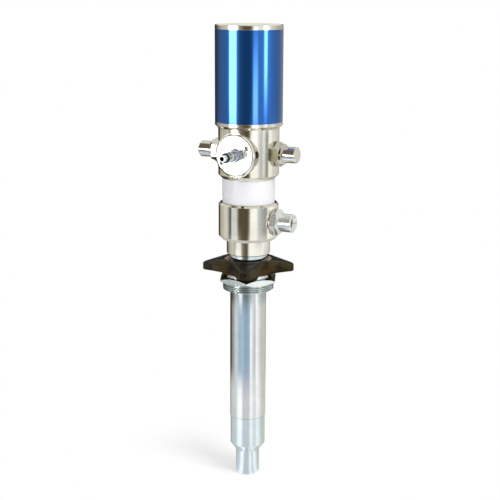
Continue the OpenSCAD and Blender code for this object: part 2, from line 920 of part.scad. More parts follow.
module foot_valve_body() {
    spigot_r = foot_socket_r - fit_gap;
    color(zinc)
        difference() {
            rotate_extrude()
                polygon([
                    [0, tip_end_z], [tip_d / 2 - tip_chamfer, tip_end_z],
                    [tip_d / 2, tip_end_z + tip_chamfer], [tip_d / 2, tip_z], [foot_r, foot_z],
                    [foot_r, -tube_drop], [spigot_r, -tube_drop],
                    [spigot_r, -tube_drop + foot_spigot_h], [0, -tube_drop + foot_spigot_h]
                ]);
            rod(tip_bore / 2, tip_end_z - cut, foot_seat_z + cut);
            rod(foot_cavity_r, foot_seat_z, -tube_drop + foot_spigot_h + cut);
            facing_side(1, stop_pin_z)
                rod(stop_pin_r, -foot_socket_r - cut, foot_socket_r + cut);
        }
}

module foot_seat() {
    cone_h = foot_seat_cone_r - foot_seat_bore_r;
    color(nickel)
        difference() {
            rod(foot_cavity_r - fit_gap, foot_seat_z, foot_seat_top_z);
            rod(foot_seat_bore_r, foot_seat_z - cut, foot_seat_top_z + cut);
            translate([0, 0, foot_seat_top_z - cone_h])
                cylinder(r1 = foot_seat_bore_r, r2 = foot_seat_cone_r, h = cone_h);
        }
}

module ball_stop_pin() {
    pin_reach = foot_socket_r - 2 * fit_gap;
    color(chrome)
        facing_side(1, stop_pin_z)
            rod(stop_pin_r, -pin_reach, pin_reach);
}

module foot_ball() {
    color(chrome)
        translate([0, 0, foot_ball_z])
            sphere(r = foot_ball_r);
}

// Air piston, main rod and pump piston

module piston_plate(low, high, step_low, step_high) {
    color(nickel)
        difference() {
            union() {
                rod(piston_seal_in_r, low, high);
                rod(piston_plate_r, step_low, step_high);
            }
            rod(stud_r, low - cut, high + cut);
            at_trip_rod()
                rod(trip_clear_r, low - cut, high + cut);
        }
}

module piston_plate_lower() {
    piston_plate(piston_z, piston_mid_z, piston_z, piston_mid_z - piston_seal_h / 2);
}

module piston_plate_upper() {
    piston_plate(piston_mid_z, piston_top_z, piston_mid_z + piston_seal_h / 2, piston_top_z);
}

module piston_seal() {
    low = piston_mid_z - piston_seal_h / 2;
    high = piston_mid_z + piston_seal_h / 2;
    lip_r = piston_seal_r - piston_seal_lip / 2;
    color(rubber)
        rotate_extrude()
            polygon([
                [piston_seal_in_r, low], [lip_r, low], [piston_seal_r, low + piston_seal_lip],
                [lip_r, piston_mid_z], [piston_seal_r, high - piston_seal_lip], [lip_r, high],
                [piston_seal_in_r, high]
            ]);
}

module piston_nut() {
    color(zinc)
        difference() {
            hexagon(piston_nut_af, piston_top_z, piston_top_z + piston_nut_h - edge_break);
            rod(stud_r, piston_top_z - cut, piston_top_z + piston_nut_h + cut);
        }
}

module main_rod() {
    color(chrome) {
        rod(rod_r, pump_piston_top_z, piston_z);
        rod(stud_r, piston_z, piston_top_z + piston_nut_h - edge_break);
        rod(stud_r, pump_piston_top_z - stud_l, pump_piston_top_z);
    }
}

module pump_piston() {
    cone_h = pump_seat_cone_r - pump_seat_bore_r;
    color(nickel)
        difference() {
            rod(pump_piston_r, pump_piston_z, pump_piston_top_z - edge_break);
            rod(pump_seat_bore_r, pump_piston_z - cut, pump_piston_top_z);
            translate([0, 0, pump_piston_z + pump_seat_h - cone_h])
                cylinder(r1 = pump_seat_bore_r, r2 = pump_seat_cone_r, h = cone_h);
            rod(pump_cavity_r, pump_piston_z + pump_seat_h, pump_piston_top_z);
            rod(cage_thread_r + fit_gap, cage_z, pump_piston_top_z + cut);
            for (index = [0 : pump_seal_count - 1])
                groove(pump_piston_r, pump_seal_d, pump_seal_w, pump_seal_centre_z(index));
        }
}

function pump_seal_centre_z(index) = pump_piston_z + pump_seal_rise + index * pump_seal_pitch;

module pump_piston_seals() {
    color(rubber)
        for (index = [0 : pump_seal_count - 1])
            translate([0, 0, pump_seal_centre_z(index)])
                pipe(pump_seal_r, pump_piston_r - pump_seal_d, -pump_seal_w / 2, pump_seal_w / 2);
}

module piston_valve_cage() {
    color(nickel)
        difference() {
            rod(cage_thread_r, cage_z, pump_piston_top_z);
            rod(stud_r, pump_piston_top_z - stud_l, pump_piston_top_z + cut);
            for (index = [0 : cage_port_count - 1])
                rotate([0, 0, index * 360 / cage_port_count])
                    translate([cage_port_ring_r, 0, cage_z - cut])
                        cylinder(r = cage_port_r, h = pump_piston_top_z - cage_z + 2 * cut);
        }
}

module upper_ball() {
    color(chrome)
        translate([0, 0, upper_ball_z])
            sphere(r = upper_ball_r);
}

// Bung adapter

module bung_adapter() {
    color(zinc)
        difference() {
            union() {
                chamfered_rod(drum_thread_r, -drum_thread_h, 0, drum_thread_break, 0);
                rotate([0, 0, adapter_turn + adapter_hex_lead])
                    hexagon(adapter_af, 0, adapter_hex_h, true);
                rod(adapter_spigot_r, 0, adapter_spigot_top_z);
            }
            rod(adapter_bore_r, -drum_thread_h - cut, adapter_spigot_top_z + cut);
            translate([0, 0, adapter_spigot_top_z - collet_cone_h])
                cylinder(r1 = adapter_bore_r, r2 = collet_cone_r, h = collet_cone_h);
            translate([0, 0, adapter_spigot_top_z])
                cylinder(r = collet_cone_r, h = cut);
            translate([0, 0, -tube_seal_depth - tube_seal_groove_w / 2])
                cylinder(r = adapter_bore_r + tube_seal_groove_d, h = tube_seal_groove_w);
        }
}

module tube_seal() {
    color(rubber)
        o_ring(adapter_bore_r + tube_seal_r, tube_seal_r, -tube_seal_depth);
}

module clamp_collet() {
    cone_z = adapter_spigot_top_z - collet_cone_h + 2 * part_gap;
    flange_z = adapter_spigot_top_z + collet_gap;
    cone_rise_share = (flange_z - cone_z) / collet_cone_h;
    cone_top_r = collet_cone_r - collet_gap;
    cone_low_r = cone_top_r - (collet_cone_r - adapter_bore_r) * cone_rise_share + collet_gap;
    color(zinc)
        difference() {
            rotate_extrude()
                polygon([
                    [adapter_bore_r, cone_z], [cone_low_r, cone_z], [cone_top_r, flange_z],
                    [collet_flange_r, flange_z], [collet_flange_r, flange_z + collet_flange_h],
                    [adapter_bore_r, flange_z + collet_flange_h]
                ]);
            for (index = [0 : collet_slot_count - 1])
                rotate([0, 0, index * 360 / collet_slot_count])
                    translate([0, -collet_slot_w / 2, cone_z - cut])
                        cube([collet_flange_r + cut, collet_slot_w, flange_z - cone_z + cut]);
        }
}

module nut_insert() {
    color(copper)
        rotate_extrude()
            polygon([
                [insert_thread_r, insert_z], [insert_r, insert_z], [insert_r, insert_shoulder_z],
                [insert_flange_r, insert_shoulder_z], [insert_flange_r, insert_top_z - fine_break],
                [insert_flange_r - fine_break, insert_top_z], [insert_lip_r, insert_top_z],
                [insert_lip_r, insert_lip_z], [insert_thread_r, insert_lip_z]
            ]);
}

// The star's plan: four arms with round tips, and hollow sides between them
module star_plan() {
    difference() {
        circle(r = star_tip_centre_r);
        for (index = [0 : star_arms - 1])
            rotate([0, 0, (index + 0.5) * 360 / star_arms])
                translate([valley_centre_r, 0])
                    circle(r = valley_cut_r);
    }
    for (index = [0 : star_arms - 1])
        rotate([0, 0, index * 360 / star_arms])
            translate([star_tip_centre_r, 0])
                circle(r = star_round_r);
}

// The section that the arms keep: a top that falls, and a foot that rises, to the tips
module star_section() {
    tip_top_z = star_top_z - star_top_fall;
    rotate_extrude()
        polygon([
            [0, star_arm_root_z], [skirt_waist_r, star_arm_root_z],
            [star_r + cut, tip_top_z - star_tip_h], [star_r + cut, tip_top_z],
            [hub_top_r, star_top_z], [0, star_top_z]
        ]);
}

module star_nut() {
    color(plastic)
        rotate([0, 0, adapter_turn])
            difference() {
                union() {
                    intersection() {
                        translate([0, 0, skirt_z])
                            linear_extrude(height = star_top_z)
                                star_plan();
                        star_section();
                    }
                    rotate_extrude()
                        polygon([
                            [0, skirt_z], [skirt_r, skirt_z], [skirt_waist_r, skirt_waist_z],
                            [hub_top_r, star_top_z], [0, star_top_z]
                        ]);
                }
                rod(insert_r + fit_gap, skirt_z - cut, insert_shoulder_z + cut);
                rod(insert_flange_r + fit_gap, insert_shoulder_z, star_top_z + cut);
            }
}

cylinder_head();
head_seal();
air_cylinder();
blue_sleeve();
base_seal();
motor_body();
inlet_cap();
inlet_cap_gasket();
air_nipple();
valve_seat();
trip_guide();
silencer_base_right();
silencer_base_left();
silencer_cap_right();
silencer_cap_left();
silencer_element_right();
silencer_element_left();
upper_rod_bush();
upper_rod_seal();
spacer_tube();
label_sleeve();
lower_rod_seal();
lower_gland();
outlet_body();
outlet_seal();
outlet_adapter();
tube_coupling();
lock_ring();
suction_tube();
foot_valve_body();
foot_seat();
ball_stop_pin();
piston_plate_lower();
piston_plate_upper();
piston_seal();
piston_nut();
main_rod();
pump_piston();
pump_piston_seals();
piston_valve_cage();
upper_ball();
foot_ball();
trip_rod();
trip_collars();
valve_carrier();
slide_valve();
bung_adapter();
tube_seal();
clamp_collet();
nut_insert();
star_nut();
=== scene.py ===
"""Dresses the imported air-operated drum pump and lights it in a plain studio.

Every length is in metres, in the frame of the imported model: the origin is on the pump's axis
at the drum seat, +Z points up, +X along the fluid outlet and -Y along the air inlet.
"""

import json
import math

import bmesh
import bpy
from mathutils import Matrix, Vector

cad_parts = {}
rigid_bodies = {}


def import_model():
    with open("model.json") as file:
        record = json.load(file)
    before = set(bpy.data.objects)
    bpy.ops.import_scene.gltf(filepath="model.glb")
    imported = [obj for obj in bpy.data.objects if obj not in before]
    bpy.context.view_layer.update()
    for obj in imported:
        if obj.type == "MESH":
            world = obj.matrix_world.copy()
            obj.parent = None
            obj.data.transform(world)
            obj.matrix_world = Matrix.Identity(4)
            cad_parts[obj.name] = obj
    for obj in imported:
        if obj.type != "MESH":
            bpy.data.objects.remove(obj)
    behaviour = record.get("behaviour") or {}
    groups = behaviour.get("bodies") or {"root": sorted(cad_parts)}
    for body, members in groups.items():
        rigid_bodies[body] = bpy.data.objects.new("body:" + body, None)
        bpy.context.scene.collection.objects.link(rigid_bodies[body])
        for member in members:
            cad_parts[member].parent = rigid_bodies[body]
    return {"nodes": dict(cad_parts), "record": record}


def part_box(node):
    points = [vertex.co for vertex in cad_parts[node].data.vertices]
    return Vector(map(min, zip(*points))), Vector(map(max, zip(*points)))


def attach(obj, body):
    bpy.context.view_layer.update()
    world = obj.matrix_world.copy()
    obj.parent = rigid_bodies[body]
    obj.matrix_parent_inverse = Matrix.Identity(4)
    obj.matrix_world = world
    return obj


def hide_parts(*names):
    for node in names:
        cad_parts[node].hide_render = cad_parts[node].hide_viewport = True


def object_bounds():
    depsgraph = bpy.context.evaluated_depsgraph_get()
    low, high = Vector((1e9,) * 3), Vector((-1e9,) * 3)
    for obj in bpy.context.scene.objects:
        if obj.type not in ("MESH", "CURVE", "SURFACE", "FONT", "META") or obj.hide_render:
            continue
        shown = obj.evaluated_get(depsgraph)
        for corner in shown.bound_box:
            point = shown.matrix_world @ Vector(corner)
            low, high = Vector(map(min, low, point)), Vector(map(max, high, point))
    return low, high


bl_info = {
    "name": "Drum pump dressing",
    "version": (1, 0, 0),
    "blender": (4, 5, 0),
    "location": "View3D > Sidebar > Drum pump",
    "description": "Details, finishes and studio for an air-operated drum pump",
    "category": "Object",
}

for left_over in list(bpy.data.objects):
    bpy.data.objects.remove(left_over)
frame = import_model()
CAD_LOW, CAD_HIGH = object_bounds()

# Shared by several parts of the script

MM = 0.001
CLOSE = 0.3 * MM
SOFT_EDGE = 0.5 * MM
FINE_EDGE = 0.18 * MM


def facing(heading):
    """The way of a heading, as a flat unit vector."""
    return Vector((math.cos(heading), math.sin(heading), 0))


# Shader maths

class Value:
    """A shader socket with Python's arithmetic: each operation adds one Math node."""

    def __init__(self, recipe, socket):
        self.recipe = recipe
        self.socket = socket

    def maths(self, operation, *others):
        sockets = dict(enumerate((self, *others)))
        return self.recipe.node("Math", {"operation": operation}, sockets)["Value"]

    def __add__(self, other):
        return self.maths("ADD", other)

    def __sub__(self, other):
        return self.maths("SUBTRACT", other)

    def __mul__(self, other):
        return self.maths("MULTIPLY", other)

    def __truediv__(self, other):
        return self.maths("DIVIDE", other)

    def __radd__(self, other):
        return self.maths("ADD", other)

    def __rmul__(self, other):
        return self.maths("MULTIPLY", other)

    def __rsub__(self, other):
        return self.recipe.node("Math", {"operation": "SUBTRACT"}, {0: other, 1: self})["Value"]


class Outputs:
    """The outputs of one node, taken by name as Values."""

    def __init__(self, recipe, node):
        self.recipe = recipe
        self.node = node

    def __getitem__(self, name):
        return Value(self.recipe, self.node.outputs[name])


class Recipe:
    """A node tree that is written as Python expressions."""

    def __init__(self, owner):
        owner.use_nodes = True
        self.tree = owner.node_tree
        self.tree.nodes.clear()

    def node(self, kind, settings=None, sockets=None):
        """Adds a shader node: its settings first, with stops for a ramp, then its sockets."""
        node = self.tree.nodes.new("ShaderNode" + kind)
        for name, value in (settings or {}).items():
            if name == "stops":
                self.set_stops(node.color_ramp, value)
            else:
                setattr(node, name, value)
        for name, value in (sockets or {}).items():
            if isinstance(value, Value):
                self.tree.links.new(value.socket, node.inputs[name])
            else:
                node.inputs[name].default_value = value
        return Outputs(self, node)

    @staticmethod
    def set_stops(ramp, stops):
        while len(ramp.elements) < len(stops):
            ramp.elements.new(0.5)
        for element, (place, colour) in zip(ramp.elements, stops):
            element.position = place
            element.color = (*colour, 1)

    def rise(self, value, low, high):
        """0 below low and 1 above high, with a smooth step between."""
        settings = {"interpolation_type": "SMOOTHSTEP"}
        sockets = {"Value": value, "From Min": low, "From Max": high}
        return self.node("MapRange", settings, sockets)["Result"]

    def vector(self, operation, first, second, output="Vector"):
        sockets = {0: first, 1: second}
        return self.node("VectorMath", {"operation": operation}, sockets)[output]

    def dot(self, first, second):
        return self.vector("DOT_PRODUCT", first, second, "Value")

    def parts(self, vector):
        """X, Y and Z of a vector."""
        return self.node("SeparateXYZ", None, {"Vector": vector})

    def mix(self, factor, first, second):
        """Mixes two colours, which are inputs 6 and 7 and output 2 of the node."""
        sockets = {"Factor": factor, 6: first, 7: second}
        return Value(self, self.node("Mix", {"data_type": "RGBA"}, sockets).node.outputs[2])

    def place(self):
        """Object coordinates."""
        return self.node("TexCoord")["Object"]

    def normal(self):
        return self.node("NewGeometry")["Normal"]

    def noise(self, scale, detail=3.0, stretch=(1, 1, 1), roughness=0.5):
        """Noise on Object coordinates, which are stretched first."""
        mapped = self.node("Mapping", None, {"Vector": self.place(), "Scale": stretch})
        sockets = {
            "Vector": mapped["Vector"], "Scale": scale,
            "Detail": detail, "Roughness": roughness,
        }
        return self.node("TexNoise", None, sockets)["Fac"]

    def ramp(self, value, stops):
        return self.node("ValToRGB", {"stops": stops}, {"Fac": value})["Color"]

    def bump(self, height, strength, distance, edge=None):
        """Small relief, over edges that are broken by a given radius."""
        sockets = {"Height": height, "Strength": strength, "Distance": distance}
        if edge:
            sockets["Normal"] = self.node("Bevel", {"samples": 6}, {"Radius": edge})["Normal"]
        return self.node("Bump", None, sockets)["Normal"]

    def background(self, colour, strength):
        sockets = {"Color": colour, "Strength": strength}
        return self.node("Background", None, sockets)["Background"]

    def emission(self, colour, strength):
        sockets = {"Color": colour, "Strength": strength}
        return self.node("Emission", None, sockets)["Emission"]

    def add_shaders(self, first, second):
        return self.node("AddShader", None, {0: first, 1: second})["Shader"]

    def mix_shaders(self, share, first, second):
        return self.node("MixShader", None, {"Fac": share, 1: first, 2: second})["Shader"]

    def surface(self, sockets):
        shader = self.node("BsdfPrincipled", None, sockets)
        self.node("OutputMaterial", None, {"Surface": shader["BSDF"]})


def across(first, second):
    """Distance from an axis, from the two coordinates across it."""
    return (first * first + second * second).maths("SQRT")


def rgba(colour):
    return (*colour, 1)


def shade(colour, amount):
    return tuple(channel * amount for channel in colour)


# Finishes

FINE_MARKS = 0.02 * MM
COARSE_MARKS = 0.03 * MM
# How finely the tool marks repeat along X, Y and Z
GRAINS = {"turned": (3, 3, 900), "drawn": (700, 700, 6), "cast": (300, 300, 300)}

MATT_ROUGHNESS = 0.4
MATT_BLUR = 0.2 * MM
JOINT_LINE, JOINT_BLUR = 0.3 * MM, 0.5 * MM

# Ring of painted shade inside the cap's rim, measured from the rim inwards
RIM_SHADE_INNER, RIM_SHADE_OUTER = 3.2 * MM, 1.4 * MM
SHADE_BLUR = 0.6 * MM
SPANNER_ANGLE = math.radians(30)
SPANNER_CIRCLE, SPANNER_RADIUS = 18.2 * MM, 2.5 * MM

NIPPLE_BORE_RADIUS = 2.6 * MM
# Share of the way from the nipple's tip to the cap, and the tone there: dark is painted shade, cool a
# painted reflection of the blue barrel
NIPPLE_SHADE_BANDS = [
    (0, "bright"), (0.19, "bright"), (0.21, "dark"), (0.26, "dark"), (0.28, "bright"),
    (0.34, "bright"), (0.36, "dark"), (0.44, "dark"), (0.46, "bright"), (0.62, "bright"),
    (0.65, "dark"), (0.74, "dark"), (0.78, "bright"), (0.84, "cool"), (1, "cool"),
]
# Painted shade inside the nipple's bore
BORE_SHADE = (0.002, 0.002, 0.003)

INSERT_RIM_LOW, INSERT_RIM_HIGH = 20.5 * MM, 21 * MM
PATCH_INNER, PATCH_OUTER = 21.5 * MM, 23.5 * MM
# Painted shade on the insert's rim, away from the two arms
RIM_SHADE = (0.02, 0.018, 0.015)

ARM_ROOT, ARM_TIP = 34 * MM, 48 * MM

NICKEL = (0.86, 0.84, 0.78)
NICKEL_TARNISH = (0.76, 0.73, 0.64)
ZINC = (0.88, 0.91, 0.91)
ZINC_TARNISH = (0.78, 0.81, 0.82)


def finish_name(slot):
    return "finish_" + slot


def new_finish(slot, write, *looks, **details):
    """Makes the finish of a slot, which a function writes as a recipe."""
    material = bpy.data.materials.new(finish_name(slot))
    write(Recipe(material), *looks, **details)
    return material


def plated_metal(
        recipe, colour, tarnish, roughness, grain,
        edge=SOFT_EDGE, metallic=1.0, matt_below=None, dirt_and_shade=None):
    """Plated or polished metal: handling marks, fine tool marks and a slightly uneven tone."""
    clouds = recipe.noise(60, 4, roughness=0.6)
    marks = recipe.noise(1, 2, GRAINS[grain])
    smears = recipe.noise(24, 5, (1, 1, 0.5))
    tone = recipe.rise(clouds * 0.6 + smears * 0.4, 0.38, 0.62)
    colour_here = recipe.mix(tone * 0.8, rgba(tarnish), rgba(colour))
    wear = recipe.rise(smears, 0.45, 0.7)
    rough_here = roughness + marks * 0.02 + wear * 0.02
    if matt_below is not None:
        height = recipe.parts(recipe.place())["Z"]
        matt = 1 - recipe.rise(height, matt_below - MATT_BLUR, matt_below)
        rough_here = rough_here + matt * MATT_ROUGHNESS
        metallic = metallic - matt
    # The mask darkens with grime in the foot's joint and with painted shade in the thread's grooves.
    if dirt_and_shade:
        colour_here = recipe.mix(dirt_and_shade(recipe), colour_here, rgba(shade(tarnish, 0.3)))
    recipe.surface({
        "Base Color": colour_here, "Metallic": metallic, "Roughness": rough_here,
        "Normal": recipe.bump(marks, 0.1, FINE_MARKS, edge),
    })


def foot_joint(recipe):
    """Share of grime in the joint between the foot and the tube."""
    height = recipe.parts(recipe.place())["Z"]
    off_joint = (height - TUBE_LOW.z).maths("ABSOLUTE")
    return 1 - recipe.rise(off_joint, JOINT_LINE, JOINT_LINE + JOINT_BLUR)


def thread_groove_shade(recipe):
    """Share of painted shade in the grooves of the drum thread."""
    adapter = bpy.context.scene.pump_adapter
    parts = recipe.parts(recipe.place())
    crest, depth, run_out = adapter.thread_radius, adapter.thread_depth, adapter.thread_run_out
    on_thread = 1 - recipe.rise(parts["Z"], -run_out, -run_out / 2)
    groove = 1 - recipe.rise(across(parts["X"], parts["Y"]), crest - depth, crest - depth * 0.45)
    return groove * on_thread * 0.8


def cap_finish(recipe, colour, rim_shade_colour):
    """Bright chrome of the valve chamber's cap, rougher along its rim and in its spanner holes, with
    painted shade there.
    """
    low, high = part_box("inlet_cap")
    radius = (high.x - low.x) / 2
    place = recipe.vector("SUBTRACT", recipe.place(), (low + high) / 2)
    parts = recipe.parts(place)
    out = across(parts["X"], parts["Z"])
    inner, outer = radius - RIM_SHADE_INNER, radius - RIM_SHADE_OUTER
    # Painted shade in a ring inside the rim and in the two spanner holes, where the cap is also rougher
    rim_and_hole_shade = recipe.rise(out, inner, inner + SHADE_BLUR) * (1 - recipe.rise(out, outer - SHADE_BLUR, outer))
    hole = facing(SPANNER_ANGLE).xzy * SPANNER_CIRCLE
    flat_place = recipe.vector("MULTIPLY", place, (1, 0, 1))
    for spot in (hole, -hole):
        off_hole = recipe.vector("DISTANCE", flat_place, spot, "Value")
        rim_and_hole_shade = rim_and_hole_shade.maths("MAXIMUM", 1 - recipe.rise(off_hole, SPANNER_RADIUS, SPANNER_RADIUS + SHADE_BLUR))
    smears = recipe.noise(24, 5)
    colour_here = recipe.mix(smears * 0.5, rgba(colour), rgba(shade(colour, 0.94)))
    recipe.surface({
        "Base Color": recipe.mix(rim_and_hole_shade, colour_here, rgba(rim_shade_colour)), "Metallic": 1.0,
        "Roughness": 0.13 + smears * 0.04 + rim_and_hole_shade * 0.2,
        "Normal": recipe.bump(smears, 0.1, FINE_MARKS, SOFT_EDGE),
    })


def nipple_finish(recipe, bright, dark, cool):
    """Zinc-plated nipple: painted shade in bands and in its bore, a painted blue reflection near the cap.
    """
    tip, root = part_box("air_nipple")[0].y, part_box("inlet_cap")[0].y
    parts = recipe.parts(recipe.place())
    share = (parts["Y"] - tip) * (1 / (root - tip))
    tones = {"bright": bright, "dark": dark, "cool": cool}
    bands = recipe.ramp(share, [(stop, tones[tone]) for stop, tone in NIPPLE_SHADE_BANDS])
    low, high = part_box("air_nipple")
    middle = (low + high) / 2
    out = across(parts["X"] - middle.x, parts["Z"] - middle.z)
    bore = 1 - recipe.rise(out, NIPPLE_BORE_RADIUS, NIPPLE_BORE_RADIUS + CLOSE)
    bore = bore * (1 - recipe.rise(share, 0.7, 0.8))
    wear = recipe.noise(420, 3)
    # Random blotches of the painted shade tone past the tip
    dirt_and_shade = recipe.rise(wear, 0.47, 0.6) * recipe.rise(share, 0.12, 0.2) * 0.7
    shaded_and_soiled = recipe.mix(dirt_and_shade, bands, rgba(dark))
    recipe.surface({
        "Base Color": recipe.mix(bore, shaded_and_soiled, rgba(BORE_SHADE)),
        "Metallic": 0.4 - bore * 0.4, "Roughness": 0.1 + wear * 0.08 + bore * 0.6,
        "Normal": recipe.bump(wear, 0.15, COARSE_MARKS, FINE_EDGE / 2),
    })


def silencer_finish(recipe, colour, flat_shade_colour):
    """Bright nickel, with painted shade and more roughness on the flat of the right silencer that faces
    the front.
    """
    facing_back = recipe.parts(recipe.normal())["Y"]
    rightward = recipe.parts(recipe.place())["X"]
    # Painted shade on the right silencer's flat that faces the front
    front_flat_shade = (1 - recipe.rise(facing_back, -0.95, -0.85)) * recipe.rise(rightward, 0.0, 10 * MM)
    stains = recipe.noise(200, 4)
    bright = recipe.mix(stains, rgba(colour), rgba(shade(colour, 0.8)))
    recipe.surface({
        "Base Color": recipe.mix(front_flat_shade, bright, rgba(flat_shade_colour)), "Metallic": 1.0,
        "Roughness": 0.1 + stains * 0.05 + front_flat_shade * 0.1,
        "Normal": recipe.bump(stains, 0.1, COARSE_MARKS, FINE_EDGE),
    })


def insert_finish(recipe, rim_colour):
    """Bright zinc on the insert's wall, and a rim in painted shade that keeps its copper colour at two
    arms.
    """
    rim = recipe.rise(recipe.parts(recipe.place())["Z"], INSERT_RIM_LOW, INSERT_RIM_HIGH)
    along_arms = recipe.dot(recipe.place(), facing(bpy.context.scene.pump_hand_nut.turn))
    patch = recipe.rise(along_arms.maths("ABSOLUTE"), PATCH_INNER, PATCH_OUTER)
    stains = recipe.noise(160, 4)
    copper = recipe.mix(recipe.rise(stains, 0.4, 0.6), rgba(shade(rim_colour, 0.8)), rgba(rim_colour))
    rim_here = recipe.mix(patch, rgba(RIM_SHADE), copper)
    recipe.surface({
        "Base Color": recipe.mix(rim, rgba(ZINC), rim_here), "Metallic": 1 - rim * 0.85,
        "Roughness": 0.12 + rim * 0.25, "Normal": recipe.bump(stains, 0.1, COARSE_MARKS),
    })


def film_finish(recipe, colour):
    """Clear coloured film drawn over a polished tube."""
    drift = recipe.noise(18, 3, (1, 1, 0.4))
    colour_here = recipe.mix(recipe.rise(drift, 0.35, 0.65), rgba(shade(colour, 0.92)), rgba(colour))
    ripple = recipe.noise(1, 2, (90, 90, 14))
    recipe.surface({
        "Base Color": colour_here, "Metallic": 0.8, "Specular IOR Level": 0.2,
        "Roughness": 0.08 + drift * 0.04, "Coat Weight": 0.65, "Coat Roughness": 0.03,
        "Normal": recipe.bump(ripple, 0.08, 0.04 * MM),
    })


def label_finish(recipe, colour):
    """Smooth white label stock, faintly cool, a little scuffed."""
    fibres = recipe.noise(400, 3)
    rub = recipe.noise(30, 4, (1, 1, 2))
    colour_here = recipe.mix(recipe.rise(rub, 0.4, 0.75), rgba(colour), rgba(shade(colour, 0.96)))
    recipe.surface({
        "Base Color": colour_here, "Roughness": 0.32 + rub * 0.12,
        "Normal": recipe.bump(fibres, 0.1, FINE_MARKS),
    })


def moulded_finish(recipe, colour, sheen_colour):
    """Black moulded plastic, with a painted brown sheen on its upright sides, blotchy and greyer towards
    the tips.
    """
    grain = recipe.noise(900, 2)
    flow = recipe.noise(70, 4, (1, 1, 1.6))
    upright = 1 - recipe.rise(recipe.parts(recipe.normal())["Z"], 0.25, 0.75)
    # Painted sheen: a brown reflection on the upright sides, in blotches
    side_sheen = upright * recipe.rise(flow, 0.32, 0.6)
    out = recipe.vector("DISTANCE", recipe.place(), (0, 0, 0), "Value")
    red, green, blue = sheen_colour
    tip_colour = rgba((red * 0.9, green * 1.5, blue * 3))
    sheen_tone = recipe.mix(recipe.rise(out, ARM_ROOT, ARM_TIP), rgba(sheen_colour), tip_colour)
    recipe.surface({
        "Base Color": recipe.mix(side_sheen, rgba(colour), sheen_tone),
        "Roughness": 0.3 + flow * 0.1, "Specular IOR Level": 0.2,
        "Specular Tint": rgba((1, 0.88, 0.6)),
        "Coat Weight": 0.5 - upright * 0.5, "Coat Roughness": 0.1,
        "Normal": recipe.bump(grain, 0.15, COARSE_MARKS, SOFT_EDGE),
    })


def rubber_finish(recipe, colour):
    grain = recipe.noise(700, 3)
    colour_here = recipe.mix(grain, rgba(colour), rgba(shade(colour, 1.8)))
    recipe.surface({
        "Base Color": colour_here, "Roughness": 0.55 + grain * 0.2,
        "Normal": recipe.bump(grain, 0.3, 0.05 * MM),
    })


def porous_finish(recipe, colour):
    """Sintered bronze: small grains with dark pores."""
    sockets = {"Vector": recipe.place(), "Scale": 1800}
    grains = recipe.node("TexVoronoi", None, sockets)["Distance"]
    colour_here = recipe.mix(recipe.rise(grains, 0.2, 0.7), rgba(colour), rgba(shade(colour, 0.25)))
    recipe.surface({
        "Base Color": colour_here, "Metallic": 0.8, "Roughness": 0.5 + grains * 0.3,
        "Normal": recipe.bump(1 - grains, 0.6, 0.1 * MM),
    })


OUTLET_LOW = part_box("outlet_body")[0]
TUBE_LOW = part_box("suction_tube")[0]
OUTLET_BEVEL = 4.1 * MM
# Colour, tarnish, roughness and tool marks
METALS = {
    "head_chrome": ((0.9, 0.89, 0.86), (0.8, 0.78, 0.72), 0.05, "turned"),
    "barrel_steel": ((0.85, 0.87, 0.9), (0.75, 0.77, 0.8), 0.06, "drawn"),
    "motor_nickel": (NICKEL, NICKEL_TARNISH, 0.04, "turned"),
    "bronze": ((0.62, 0.46, 0.26), (0.45, 0.32, 0.16), 0.28, "turned"),
    "silencer_cap_nickel": ((0.86, 0.84, 0.8), (0.76, 0.73, 0.68), 0.07, "cast"),
    "outlet_nickel": (NICKEL, NICKEL_TARNISH, 0.04, "turned"),
    "copper": ((0.62, 0.55, 0.48), (0.5, 0.4, 0.33), 0.3, "turned"),
    "adapter_zinc": ((0.9, 0.93, 0.92), (0.78, 0.81, 0.79), 0.16, "cast"),
    "coupling_zinc": ((0.88, 0.87, 0.82), (0.78, 0.76, 0.69), 0.05, "turned"),
    "ring_zinc": ((0.74, 0.84, 0.9), (0.6, 0.7, 0.76), 0.08, "turned"),
    "tube_zinc": (ZINC, ZINC_TARNISH, 0.09, "drawn"),
    "foot_zinc": ((0.81, 0.9, 0.95), (0.71, 0.8, 0.85), 0.09, "turned"),
    "hard_steel": ((0.6, 0.6, 0.6), (0.45, 0.45, 0.45), 0.25, "turned"),
    "hard_chrome": ((0.8, 0.8, 0.82), (0.7, 0.7, 0.72), 0.08, "turned"),
    "piston_alloy": ((0.75, 0.75, 0.74), (0.6, 0.6, 0.6), 0.3, "turned"),
    "bung_zinc": ((0.84, 0.89, 0.88), (0.7, 0.77, 0.75), 0.1, "cast"),
}
# What a metal needs beyond those four
METAL_DETAILS = {
    "silencer_cap_nickel": {"edge": FINE_EDGE},
    "outlet_nickel": {"edge": FINE_EDGE, "matt_below": OUTLET_LOW.z + OUTLET_BEVEL},
    "copper": {"edge": FINE_EDGE},
    "adapter_zinc": {"edge": FINE_EDGE, "metallic": 0.7},
    "coupling_zinc": {"edge": FINE_EDGE / 2},
    "ring_zinc": {"edge": FINE_EDGE},
    "foot_zinc": {"dirt_and_shade": foot_joint},
    # The bung's thread gets painted shade in its grooves.
    "bung_zinc": {"edge": FINE_EDGE, "dirt_and_shade": thread_groove_shade},
}


